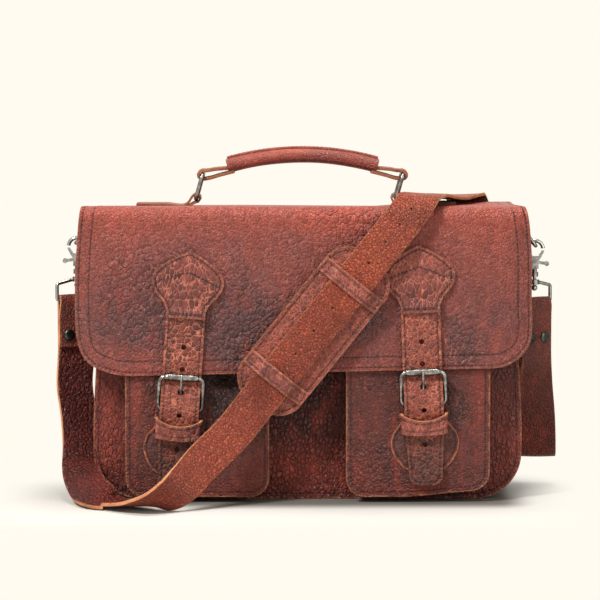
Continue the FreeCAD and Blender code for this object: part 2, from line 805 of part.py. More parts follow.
strap_half_width = size("strap_width") / 2
wrap_bore = loop_wire + gap
wrap_outer = wrap_bore + size("strap_leather")
strap_level = (wrap_bore + wrap_outer) / 2
end_rivet = loop_bar - 0.7 * size("strap_fold")
rivet_apart = strap_half_width - size("rivet_edge")
rivet_head = 5.2
rivet_head_height = 1.4
strap_starts = {}
tab_rivets = []
end_rivets = []
strap_ends = {}
for name, hand in SIDES:
    bar = Vector(hand * bar_x, 0, size("tab_height"))
    lean = math.radians(size(name + "_dring_lean"))
    gusset_face = hand * gusset_half
    tab_face = gusset_face + hand * size("tab_leather")
    tab = block(
        min(gusset_face, tab_face),
        -tab_half,
        size("tab_height") - size("tab_length"),
        max(gusset_face, tab_face),
        tab_half,
        size("tab_height"),
    )
    start = bar - Y_AXIS * tab_half
    folded = Part.makeCylinder(tab_outer, 2 * tab_half, start, Y_AXIS)
    bore = Part.makeCylinder(tab_bore, 2 * tab_half, start, Y_AXIS)
    drill_start = Vector(hand * (gusset_half - 10), 0, tab_rivet_z)
    drill = Part.makeCylinder(rivet_shank, 20, drill_start, X_AXIS * hand)
    solid(name + "_side_tab", tab.fuse(folded).cut(bore).cut(drill))
    # a tubular rivet: a shank between an outer and an inner head
    inside = gusset_half - size("gusset_leather")
    outside = gusset_half + size("tab_leather")
    shank = Part.makeCylinder(
        rivet_shank, outside - inside, Vector(hand * inside, 0, tab_rivet_z), X_AXIS * hand
    )
    head_start = Vector(hand * outside, 0, tab_rivet_z)
    head = Part.makeCylinder(4, 1, head_start, X_AXIS * hand)
    tail_start = Vector(hand * (inside - 1), 0, tab_rivet_z)
    tail = Part.makeCylinder(3.5, 1, tail_start, X_AXIS * hand)
    tab_rivets.append(shank.fuse(head).fuse(tail))

    ring_side = tab_half + 1 + dwire
    far = size("dring_reach")
    square = [
        Vector(0, -ring_side, 0),
        Vector(0, ring_side, 0),
        Vector(0, ring_side, -far),
        Vector(0, -ring_side, -far),
    ]
    dring = bent_path(square, 3, True)
    solid(
        name + "_d_ring",
        rod(dring, dwire),
        Placement(bar, Rotation(Y_AXIS, -hand * math.degrees(lean))),
    )
    eye = bar + Vector(hand * far * math.sin(lean), 0, -far * math.cos(lean) - hook_drop)
    hook = snap_hook()
    lever = hook_lever()
    if hand > 0:
        hook = hook.mirror(Vector(), X_AXIS)
        lever = lever.mirror(Vector(), X_AXIS)
    solid(name + "_snap_hook", hook, Placement(eye, Rotation()))
    solid(name + "_hook_lever", lever, Placement(eye, Rotation()))
    turn = Rotation(Z_AXIS, size(name + "_loop_turn"))
    solid(name + "_swivel_loop", swivel_loop(), Placement(eye, turn))

    # the strap's end: folded over the loop's bar and back on itself
    fold = size("strap_fold")
    thick = size("strap_leather")
    half = strap_half_width
    # the long layer lies behind the bar on the left and before it on the right
    side = -hand
    long_layer = block(-half, wrap_bore, loop_bar - fold, half, wrap_outer, loop_bar)
    back = wrap_bore - 0.2
    short = [
        Vector(-half, -wrap_bore, loop_bar),
        Vector(-half, -wrap_outer, loop_bar),
        Vector(-half, back - thick, loop_bar - 12),
        Vector(-half, back - thick, loop_bar - fold + 2),
        Vector(-half, back, loop_bar - fold + 2),
        Vector(-half, back, loop_bar - 12),
    ]
    short_layer = Part.Face(Part.makePolygon(short + short[:1])).extrude(X_AXIS * 2 * half)
    start = Vector(-half, 0, loop_bar)
    over = tube(wrap_outer, wrap_bore, 2 * half, start, X_AXIS)
    over = over.common(block(-half, -20, loop_bar, half, 20, loop_bar + 20))
    end = long_layer.fuse(over).fuse(short_layer)
    frame = Placement(eye, turn)
    for across in (-rivet_apart, rivet_apart):
        drill_start = Vector(across, -15, end_rivet)
        end = end.cut(Part.makeCylinder(rivet_shank, 30, drill_start, Y_AXIS))
        shank_start = Vector(across, back - thick, end_rivet)
        shank = Part.makeCylinder(rivet_shank, wrap_outer - back + thick, shank_start, Y_AXIS)
        cap_start = Vector(across, back - thick - rivet_head_height, end_rivet)
        cap = Part.makeCylinder(rivet_head, rivet_head_height, cap_start, Y_AXIS)
        burr_start = Vector(across, wrap_outer, end_rivet)
        burr = Part.makeCylinder(rivet_head, rivet_head_height, burr_start, Y_AXIS)
        rivet = shank.fuse(cap).fuse(burr)
        if side < 0:
            rivet = rivet.mirror(Vector(), Y_AXIS)
        rivet.Placement = frame
        end_rivets.append(rivet)
    if side < 0:
        end = end.mirror(Vector(), Y_AXIS)
    end.Placement = frame
    strap_ends[name] = end
    normal = turn.multVec(Y_AXIS * side)
    strap_starts[name] = (
        frame.multVec(Vector(0, side * strap_level, loop_bar - fold)),
        turn.multVec(X_AXIS),
        normal,
    )

solid("side_tab_rivets", Part.makeCompound(tab_rivets))
solid("strap_end_rivets", Part.makeCompound(end_rivets))

# ---------------------------------------------------------------- shoulder strap
# The strap hangs from the left loop, runs forward on the floor, climbs over the flap, falls
# behind the bag, turns below and climbs to the right loop. Each row of a run is the strap's
# middle and the outward normal of its grain side.

strap_back = billet_face - size("strap_gap")
strap_y = strap_back - size("strap_leather") / 2
pad_back = strap_back
pad_face = pad_back - size("pad_leather")
over_pad = pad_face - 0.3 - size("strap_leather") / 2
pad_middle = -54
pad_upper = pad_middle + size("pad_length") / 2
pad_lower = pad_middle - size("pad_length") / 2
front_way = Vector(0.625, 0, 0.7806).normalize()
front_point = Vector(38.9, 0, 198)


def on_front(along, y):
    """A point of the straight front run, along its length from front_point."""
    place = front_point + front_way * along
    return (place.x, y, place.z)


floor_level = size("strap_leather") / 2 + 0.3
top_level = size("flap_top") + size("foot_leather") + 0.6 + size("strap_leather") / 2
# the strap's middle where its edge just clears the sides of the bag
beside = size("body_width") / 2 + strap_half_width

# It bulges forward on the floor, where it lies on one edge and then on the other.
LEFT_RUN = [
    (-beside - 6.3, 0.5, 98.5, -0.47, 0.88, -0.11),
    (-beside - 2.7, -4.5, 71, -0.45, 0.82, -0.35),
    (-beside + 1, -18, 44, -0.29, 0.68, -0.68),
    (-beside + 4, -6 - half_depth, 22.5, 0.3, 0.53, -0.8),
    (-beside + 13, -31 - half_depth, 12.4, 0.37, 0.41, -0.83),
    (-beside + 24.5, -47.5 - half_depth, 7.8, 0.02, 0.37, -0.93),
    (-beside + 34.7, -50.5 - half_depth, 4.4, -0.14, 0.12, -0.98),
]
FRONT_RUN = [
    (-163.8, over_pad - 19.7, 4.4, -0.01, -0.09, -1),
    (-151.8, over_pad - 29.7, 5.8, 0.01, -0.21, -0.98),
    (-139.2, over_pad - 38.7, 8.8, 0.08, -0.45, -0.89),
    (-124, over_pad - 40.7, 14.4, 0.41, -0.8, -0.45),
    (-108, over_pad - 32.7, 25.8, 0.49, -0.87, 0.07),
    (-94.5, over_pad - 22.2, 40, 0.37, -0.92, 0.14),
    (*on_front(pad_lower - 26, over_pad - 8.2), 0.22, -0.96, 0.16),
    (*on_front(pad_lower - 3, over_pad), 0, -1, 0),
    (*on_front(pad_upper + 2, over_pad), 0, -1, 0),
    (*on_front(pad_upper + 17, over_pad + 2), 0, -1, 0),
    (*on_front(pad_upper + 33, strap_y - 1), 0, -1, 0),
    (*on_front(pad_upper + 53, strap_y), 0, -1, 0),
    (96.5, flap_face - 2.6, size("flap_top") + 5, 0, -0.8, 0.6),
    (101, flap_face + 5, size("flap_top") + 9, 0, -0.35, 0.94),
    (108, flap_face + 19, size("flap_top") + 9.5, 0, 0, 1),
    (118, -28, top_level + 1.5, 0, 0.1, 1),
    (130, 0, top_level, 0, 0, 1),
    (141, hinge_y - 14, top_level - 0.3, 0, 0.15, 0.99),
    (146, hinge_y - 3, hinge_z + 4.4, 0, 0.2, 0.98),
    (149, hinge_y + 3.4, hinge_z + 2.2, 0, 0.8, 0.6),
]
REAR_RUN = [
    (151.5, half_depth + 3.4, hinge_z - 5, 0, 1, 0),
    (160, half_depth + 4, 228, 0, 1, 0),
    (182, half_depth + 4.5, 150, 0, 1, 0),
    (199, half_depth + 6, 86, 0, 1, 0),
    (beside + 2, half_depth + 8, 52, 0.05, 0.99, -0.1),
]
RIGHT_RUN = [
    (beside + 5, half_depth + 4, 35, 0, 0.6, -0.8),
    (beside + 6, half_depth - 5, 27.5, 0, 0, -1),
    (beside + 6, half_depth - 15, 29.5, 0, -0.55, -0.83),
    (beside + 5.5, half_depth - 22, 40, 0.02, -0.97, -0.2),
    (beside + 4.5, 17, 64, 0.15, -0.98, -0.05),
    (beside + 2, 6, 102, 0.4, -0.91, 0),
]

RUNS = [LEFT_RUN, FRONT_RUN, REAR_RUN, RIGHT_RUN]
route = [(strap_starts["left"][0], strap_starts["left"][2])]
ends_at = []
for run in RUNS:
    for x, y, z, nx, ny, nz in run:
        route.append((Vector(x, y, z), Vector(nx, ny, nz).normalize()))
    ends_at.append(len(route) - 1)
route.append((strap_starts["right"][0], strap_starts["right"][2]))
ends_at[-1] = len(route) - 1

stations = []
length = 0
for n, (middle, normal) in enumerate(route):
    before = route[max(n - 1, 0)][0]
    after = route[min(n + 1, len(route) - 1)][0]
    way = (after - before).normalize()
    across = way.cross(normal).normalize()
    stations.append((middle, across, across.cross(way)))
    if n:
        length += (middle - route[n - 1][0]).Length
# both ends leave their folded ends squarely
for index, name in ((0, "left"), (-1, "right")):
    middle, across, normal = strap_starts[name]
    stations[index] = (middle, across, normal)
print(f"shoulder strap: {length:.0f} mm along its middle, {len(stations)} stations")

start = 0
for label, stop in zip(("left", "front", "rear", "right"), ends_at):
    run = ribbon(stations[start : stop + 1], size("strap_width"), size("strap_leather"))
    if label in strap_ends:
        run = run.fuse(strap_ends[label])
    solid("shoulder_strap_" + label, run)
    start = stop

# ---------------------------------------------------------------- shoulder pad
# The pad is drawn upright about its middle and turned along the front run.

pad_turn = Rotation(Y_AXIS, math.degrees(math.atan2(front_way.x, front_way.z)))
pad_place = Placement(Vector(*on_front(pad_middle, 0)), pad_turn)
half = size("pad_width") / 2
reach = size("pad_length") / 2
pad = sketched(
    "shoulder_pad", "XZ_Plane", rectangle(-half, -reach, half, reach), "Sizes.pad_leather"
)
rounded(
    pad,
    "shoulder_pad_corners",
    "Sizes.pad_corner",
    lambda e: e.BoundBox.XLength < 0.01 and e.BoundBox.ZLength < 0.01,
)
pad.Placement = pad_place.multiply(Placement(Vector(0, pad_back, 0), Rotation()))
keep(pad, "shoulder_pad")

for name, hand in (("lower", -1), ("upper", 1)):
    inner = strap_half_width + 0.8
    outer = inner + size("bridge_leather")
    middle = hand * size("bridge_spacing") / 2
    low = middle - size("pad_bridge") / 2
    high = middle + size("pad_bridge") / 2
    under = pad_face - 0.6 - size("strap_leather")
    front = under - size("bridge_leather")
    band = block(-outer, front, low, outer, pad_face, high)
    soft = [e for e in band.Edges if e.BoundBox.ZLength > 1 and e.BoundBox.YMax < front + 1]
    band = band.makeFillet(2, soft).cut(block(-inner, under, low, inner, pad_face, high))
    solid(name + "_pad_bridge", band, pad_place)

# ---------------------------------------------------------------- checks and files

doc.recompute()
for item in doc.Objects:
    if "Invalid" in item.State or "Error" in item.State:
        raise RuntimeError(f"{item.Label} failed: {item.State}")
for piece in pieces:
    if piece.Shape.isNull() or not piece.Shape.isValid() or not piece.Shape.Solids:
        raise RuntimeError(f"{piece.Label} has no valid solid")

os.makedirs("parts", exist_ok=True)
for piece in pieces:
    piece.Shape.exportStep(f"parts/{piece.Label}.step")
print(f"{len(pieces)} sub-parts written")
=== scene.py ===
# %% [markdown]
# # A leather satchel
# The bag stands on a pale floor. It has a flap with two buckled closing straps, two front pockets,
# a top handle and a shoulder strap with a pad, which lies over the front.
# The rings, hooks and loops come from the construction model. The leather and the buckles are made
# here. Each leather piece is a cut sheet that is bent into place, because leather shows its cut
# edges, its stitches and its grain.

import json
import math

import bpy
import numpy as np
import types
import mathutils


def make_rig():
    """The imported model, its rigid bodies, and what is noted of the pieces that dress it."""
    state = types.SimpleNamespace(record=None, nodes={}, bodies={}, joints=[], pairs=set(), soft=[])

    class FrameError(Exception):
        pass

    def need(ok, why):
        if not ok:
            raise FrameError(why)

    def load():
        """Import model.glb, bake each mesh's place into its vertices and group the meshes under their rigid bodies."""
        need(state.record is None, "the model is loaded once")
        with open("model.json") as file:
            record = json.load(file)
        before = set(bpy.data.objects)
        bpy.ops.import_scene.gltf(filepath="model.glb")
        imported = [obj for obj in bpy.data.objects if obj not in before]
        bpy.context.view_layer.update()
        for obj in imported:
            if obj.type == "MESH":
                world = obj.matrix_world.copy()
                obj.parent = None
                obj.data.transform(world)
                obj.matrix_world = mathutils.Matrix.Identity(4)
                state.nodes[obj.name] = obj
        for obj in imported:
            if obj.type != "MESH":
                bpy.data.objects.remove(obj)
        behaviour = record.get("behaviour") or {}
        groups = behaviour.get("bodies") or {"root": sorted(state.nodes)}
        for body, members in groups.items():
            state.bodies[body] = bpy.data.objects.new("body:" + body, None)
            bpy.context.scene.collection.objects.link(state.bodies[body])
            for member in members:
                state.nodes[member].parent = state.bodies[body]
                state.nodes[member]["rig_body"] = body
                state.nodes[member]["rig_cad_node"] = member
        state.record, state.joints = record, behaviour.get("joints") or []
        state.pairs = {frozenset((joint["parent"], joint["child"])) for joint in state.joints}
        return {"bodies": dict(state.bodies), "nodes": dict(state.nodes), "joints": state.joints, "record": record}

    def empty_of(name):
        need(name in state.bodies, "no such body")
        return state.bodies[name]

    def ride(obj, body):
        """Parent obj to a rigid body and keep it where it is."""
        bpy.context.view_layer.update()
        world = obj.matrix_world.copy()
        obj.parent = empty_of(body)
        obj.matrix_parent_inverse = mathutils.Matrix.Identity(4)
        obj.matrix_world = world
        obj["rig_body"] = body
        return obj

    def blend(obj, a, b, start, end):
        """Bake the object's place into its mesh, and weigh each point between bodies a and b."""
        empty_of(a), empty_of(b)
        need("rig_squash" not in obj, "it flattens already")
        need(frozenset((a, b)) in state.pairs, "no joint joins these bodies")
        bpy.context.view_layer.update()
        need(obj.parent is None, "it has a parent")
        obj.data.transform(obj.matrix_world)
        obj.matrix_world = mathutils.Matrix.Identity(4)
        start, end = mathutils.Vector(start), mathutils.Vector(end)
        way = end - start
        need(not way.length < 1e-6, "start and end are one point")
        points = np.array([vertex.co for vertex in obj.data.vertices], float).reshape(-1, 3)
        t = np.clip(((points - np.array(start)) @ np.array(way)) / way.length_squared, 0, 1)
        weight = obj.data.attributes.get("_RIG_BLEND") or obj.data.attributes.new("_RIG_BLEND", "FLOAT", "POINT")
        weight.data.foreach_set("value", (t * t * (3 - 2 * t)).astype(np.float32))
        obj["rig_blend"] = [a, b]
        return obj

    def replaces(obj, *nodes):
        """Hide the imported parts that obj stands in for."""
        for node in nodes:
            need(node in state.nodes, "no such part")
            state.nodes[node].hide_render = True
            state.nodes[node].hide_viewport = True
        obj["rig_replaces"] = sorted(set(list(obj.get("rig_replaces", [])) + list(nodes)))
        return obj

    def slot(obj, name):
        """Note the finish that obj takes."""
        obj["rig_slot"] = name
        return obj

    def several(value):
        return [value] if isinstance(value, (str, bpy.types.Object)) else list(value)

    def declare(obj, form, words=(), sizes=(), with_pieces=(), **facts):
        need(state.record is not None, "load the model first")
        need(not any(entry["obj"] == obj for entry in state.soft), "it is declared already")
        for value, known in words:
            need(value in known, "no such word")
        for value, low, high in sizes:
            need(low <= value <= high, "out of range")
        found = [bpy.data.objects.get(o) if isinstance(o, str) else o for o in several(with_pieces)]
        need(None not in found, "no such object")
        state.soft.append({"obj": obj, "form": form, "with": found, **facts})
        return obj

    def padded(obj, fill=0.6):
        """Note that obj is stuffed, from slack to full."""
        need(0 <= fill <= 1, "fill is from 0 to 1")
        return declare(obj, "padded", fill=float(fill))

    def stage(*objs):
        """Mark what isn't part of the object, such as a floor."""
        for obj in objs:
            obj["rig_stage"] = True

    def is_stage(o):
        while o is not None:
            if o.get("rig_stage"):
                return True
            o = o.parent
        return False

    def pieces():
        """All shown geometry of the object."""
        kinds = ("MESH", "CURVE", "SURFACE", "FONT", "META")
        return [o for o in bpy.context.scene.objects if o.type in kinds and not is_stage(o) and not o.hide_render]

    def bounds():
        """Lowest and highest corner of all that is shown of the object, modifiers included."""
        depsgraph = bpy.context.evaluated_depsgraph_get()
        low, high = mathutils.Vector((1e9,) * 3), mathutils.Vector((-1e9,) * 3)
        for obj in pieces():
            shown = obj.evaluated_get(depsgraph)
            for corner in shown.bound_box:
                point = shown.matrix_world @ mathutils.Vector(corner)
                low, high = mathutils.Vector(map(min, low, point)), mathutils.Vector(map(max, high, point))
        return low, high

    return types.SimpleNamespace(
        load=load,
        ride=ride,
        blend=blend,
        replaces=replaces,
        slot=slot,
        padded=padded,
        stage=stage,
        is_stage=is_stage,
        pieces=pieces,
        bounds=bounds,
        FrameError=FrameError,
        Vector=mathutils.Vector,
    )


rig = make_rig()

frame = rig.load()
cad_box = [list(corner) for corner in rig.bounds()]
MM = 0.001
scene = bpy.context.scene
print(len(frame["nodes"]), "nodes on", len(frame["bodies"]), "bodies")

# %% [markdown]
# ## The camera
# A product photograph is taken from a few metres away with a long lens, so the bag hardly tapers.
# The lens follows from the width that the picture covers at the bag's front face.

# %% Camera
PICTURE_WIDTH = 0.5325
DISTANCE = 2.6
SENSOR = 36.0
FRONT = -0.0707
camera_data = bpy.data.cameras.new("camera")
camera_data.sensor_width = SENSOR
camera_data.lens = SENSOR * DISTANCE / PICTURE_WIDTH
camera = bpy.data.objects.new("camera", camera_data)
scene.collection.objects.link(camera)
CAMERA_HEIGHT = 0.43
target = np.array([-0.0068, FRONT, 0.1830])
stand = np.array([target[0], FRONT - DISTANCE, CAMERA_HEIGHT])
camera.location = stand
camera.rotation_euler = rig.Vector(target - stand).to_track_quat("-Z", "Y").to_euler()
camera_data.clip_start = 0.1
camera_data.clip_end = 50
scene.camera = camera
print("lens", round(camera_data.lens, 1), "mm")

# %% [markdown]
# ## Nodes by name
# A small helper makes a shader node, sets its plain inputs and joins the rest, so that each
# material below reads as a short list of steps.

# %% A helper for shader nodes
def add(tree, kind, inputs=(), **settings):
    """One shader node: settings are its properties, and inputs are values or sockets to join."""
    node = tree.nodes.new("ShaderNode" + kind)
    for key, value in settings.items():
        setattr(node, key, value)
    for key, value in dict(inputs).items():
        if isinstance(value, bpy.types.NodeSocket):
            tree.links.new(value, node.inputs[key])
        else:
            node.inputs[key].default_value = value
    return node


def maths(tree, operation, a, b=0.0, clamp=False):
    """A sum, product or other step on one or two numbers."""
    return add(tree, "Math", {0: a, 1: b}, operation=operation, use_clamp=clamp).outputs[0]


def blend_colour(tree, share, a, b, mode="MIX"):
    """Colour a turned towards colour b by share."""
    node = add(tree, "Mix", {0: share, 6: a, 7: b}, data_type="RGBA", blend_type=mode)
    return node.outputs[2]


def remap(tree, value, low, high, to_low=0.0, to_high=1.0):
    """A number taken smoothly from one range to another."""
    steps = {0: value, 1: low, 2: high, 3: to_low, 4: to_high}
    return add(tree, "MapRange", steps, interpolation_type="SMOOTHSTEP").outputs[0]


def group(name, inputs, outputs):
    """An empty node group with named sockets; returns the tree, its input and its output node."""
    tree = bpy.data.node_groups.new(name, "ShaderNodeTree")
    for label, kind in inputs:
        tree.interface.new_socket(label, in_out="INPUT", socket_type="NodeSocket" + kind)
    for label, kind in outputs:
        tree.interface.new_socket(label, in_out="OUTPUT", socket_type="NodeSocket" + kind)
    return tree, tree.nodes.new("NodeGroupInput"), tree.nodes.new("NodeGroupOutput")


def tinted(red, green, blue):
    """A colour as a screen shows it, 0 to 255, turned into the light values that a shader wants."""
    part = np.array([red, green, blue]) / 255
    light = np.where(part <= 0.04045, part / 12.92, ((part + 0.055) / 1.055) ** 2.4)
    return (*light.tolist(), 1.0)


# %% [markdown]
# ## Grain
# Shrunken leather is covered in small plump cells with creases between them. A Voronoi texture's
# distance to the nearest cell wall gives both: it is small in a crease and large on a cell.
# Pushing the coordinates about with noise first keeps the cells from looking like a honeycomb.
# There are large and fine cells, and the Coarse input turns the fine ones into the large ones.

# %% The grain group
PUSH = 1.3
FINE_SCALE = 2.0
LARGE_LINE = 0.1
FINE_LINE = 0.2
grain_tree, ins, outs = group(
    "pebble_grain",
    [("Size mm", "Float"), ("Stretch", "Vector"), ("Coarse", "Float")],
    [("Crease", "Float"), ("Height", "Float"), ("Cell", "Float")],
)
coordinates = add(grain_tree, "TexCoord").outputs["Object"]
per_metre = maths(grain_tree, "DIVIDE", 1000.0, ins.outputs["Size mm"])
drawn = {0: coordinates, 1: ins.outputs["Stretch"]}
scaled = add(grain_tree, "VectorMath", drawn, operation="MULTIPLY").outputs[0]
scaled = add(grain_tree, "VectorMath", {0: scaled, "Scale": per_metre}, operation="SCALE").outputs[0]
push = add(grain_tree, "TexNoise", {"Vector": scaled, "Scale": 0.7, "Detail": 4.0})
centred = add(
    grain_tree, "VectorMath", {0: push.outputs["Color"], 1: (0.5, 0.5, 0.5)}, operation="SUBTRACT"
)
pushed = add(grain_tree, "VectorMath", {0: centred.outputs[0], "Scale": PUSH}, operation="SCALE")
pushed = add(grain_tree, "VectorMath", {0: scaled, 1: pushed.outputs[0]}).outputs[0]


def pebbles(tree, at, scale, line):
    """Cells of one size: their walls as lines, their domes and a random value for each. A dome
    falls away as the square of the distance from its cell's middle, and drops off at the wall."""
    edge = add(tree, "TexVoronoi", {"Vector": at, "Scale": scale}, feature="DISTANCE_TO_EDGE")
    cell = add(tree, "TexVoronoi", {"Vector": at, "Scale": scale}, feature="F1")
    wall = remap(tree, edge.outputs["Distance"], 0.0, line, 1.0, 0.0)
    fall = maths(tree, "MULTIPLY", maths(tree, "POWER", cell.outputs["Distance"], 2.0), 1.5)
    dome = maths(tree, "MULTIPLY", maths(tree, "SUBTRACT", 1.0, fall, True), 0.6)
    step = maths(tree, "MULTIPLY", remap(tree, edge.outputs["Distance"], 0.0, 0.2), 0.4)
    value = add(tree, "SeparateColor", {0: cell.outputs["Color"]}).outputs[0]
    return wall, maths(tree, "ADD", dome, step), value


def between(tree, share, a, b):
    """A number turned from a to b by share."""
    return add(tree, "Mix", {0: share, 2: a, 3: b}, data_type="FLOAT").outputs[0]


large_wall, large_dome, large_value = pebbles(grain_tree, pushed, 1.0, LARGE_LINE)
fine_wall, fine_dome, fine_value = pebbles(grain_tree, pushed, FINE_SCALE, FINE_LINE)
coarse = ins.outputs["Coarse"]
fine_dome = maths(grain_tree, "MULTIPLY", fine_dome, 0.65)
both = maths(grain_tree, "ADD", large_dome, maths(grain_tree, "MULTIPLY", fine_dome, 0.3))
for label, value in (
    ("Crease", between(grain_tree, coarse, fine_wall, large_wall)),
    ("Height", between(grain_tree, coarse, fine_dome, both)),
    ("Cell", between(grain_tree, coarse, fine_value, large_value)),
):
    grain_tree.links.new(value, outs.inputs[label])
print("grain group:", len(grain_tree.nodes), "nodes")

# %% [markdown]
# ## Tone
# Oiled leather is never one colour. Large soft clouds come from the hide, long streaks from
# stretching it, and a fine speckle from use. Medium marks decide where the creases show. One
# group makes all four, so the pieces agree.

# %% The tone group
tone_tree, ins, outs = group(
    "hide_tone",
    [("Seed", "Float")],
    [("Clouds", "Float"), ("Streaks", "Float"), ("Speckle", "Float"), ("Marks", "Float")],
)
coordinates = add(tone_tree, "TexCoord").outputs["Object"]
shift = add(tone_tree, "CombineXYZ", {0: ins.outputs["Seed"], 1: ins.outputs["Seed"]}).outputs[0]
moved = add(tone_tree, "VectorMath", {0: coordinates, 1: shift}).outputs[0]
clouds = add(tone_tree, "TexNoise", {"Vector": moved, "Scale": 13.0, "Detail": 4.0, "Roughness": 0.6})
drawn = add(tone_tree, "Mapping", {"Vector": moved, "Scale": (90.0, 90.0, 40.0)})
drawn.inputs["Rotation"].default_value = (0.0, 0.2, 0.0)
streaks = add(tone_tree, "TexNoise", {"Vector": drawn.outputs[0], "Scale": 1.0, "Detail": 3.0})
speckle = add(tone_tree, "TexNoise", {"Vector": moved, "Scale": 900.0, "Detail": 2.0})
marks = add(tone_tree, "TexNoise", {"Vector": moved, "Scale": 95.0, "Detail": 2.0})
tone_tree.links.new(remap(tone_tree, clouds.outputs[0], 0.36, 0.66), outs.inputs["Clouds"])
tone_tree.links.new(remap(tone_tree, streaks.outputs[0], 0.48, 0.75), outs.inputs["Streaks"])
tone_tree.links.new(speckle.outputs[0], outs.inputs["Speckle"])
tone_tree.links.new(marks.outputs[0], outs.inputs["Marks"])
print("tone group:", len(tone_tree.nodes), "nodes")

# %% [markdown]
# ## Edges and stitch lines
# Each sheet stores how far every point is from the cut edge, in millimetres, how much wear and
# painted highlight it has there, and how dark it is there, from dark hide or from painted shade.
# A group turns the distance into a rubbed band at the very edge and a groove under each row of
# stitches. A groove is a smooth dip in height centred on the row's distance.

# %% The edge group
GROOVE_HALF = 1.5
edge_tree, ins, outs = group(
    "edge_band",
    [("First row", "Float"), ("Second row", "Float")],
    [("Rub", "Float"), ("Groove", "Float")],
)
reach = add(edge_tree, "Attribute", attribute_name="edge_mm").outputs["Fac"]


def dip(tree, distance, row, width):
    """1 where the distance equals row, falling away on both sides within width."""
    offset = maths(tree, "ABSOLUTE", maths(tree, "SUBTRACT", distance, row))
    return remap(tree, offset, 0.0, width, 1.0, 0.0)


first = dip(edge_tree, reach, ins.outputs["First row"], GROOVE_HALF)
second = dip(edge_tree, reach, ins.outputs["Second row"], GROOVE_HALF)
edge_tree.links.new(maths(edge_tree, "MAXIMUM", first, second), outs.inputs["Groove"])
ragged = add(edge_tree, "TexNoise", {"Scale": 140.0, "Detail": 3.0})
edge_tree.links.new(add(edge_tree, "TexCoord").outputs["Object"], ragged.inputs["Vector"])
rub_reach = remap(edge_tree, ragged.outputs[0], 0.3, 0.7, 0.5, 2.6)
rub = maths(edge_tree, "SUBTRACT", 1.0, maths(edge_tree, "DIVIDE", reach, rub_reach), True)
edge_tree.links.new(rub, outs.inputs["Rub"])
print("edge group:", len(edge_tree.nodes), "nodes")

# %% [markdown]
# ## Leather
# Every leather on the bag is the same recipe with its own colours and cell size: a main colour,
# a deeper one in the clouds and where a piece is marked dark, and a lifted one where the oil has
# been pushed away by bending and rubbing. On some pieces the dark mark is painted shade and the
# lifted colour paints a highlight. Creases are pale where the bent leather has lost its oil, as on
# the flap and the patches, and dark on the body, the shoulder strap and the handle.

# %% The leather materials
NO_ROW = -50.0
FLAP_ROWS = (3.2, 12.5)
BODY_ROW = 4.5
POCKET_ROW = 4.2
PATCH_ROW = 3.0
PAD_ROW = 4.0
BLOOM = tinted(165, 150, 150)
CLOUD_SHARE = 0.6
GLOSS = 0.32


def place_group(tree, shared, inputs):
    """A shared node group placed in a material with its own values."""
    node = tree.nodes.new("ShaderNodeGroup")
    node.node_tree = shared
    for key, value in inputs.items():
        node.inputs[key].default_value = value
    return node.outputs


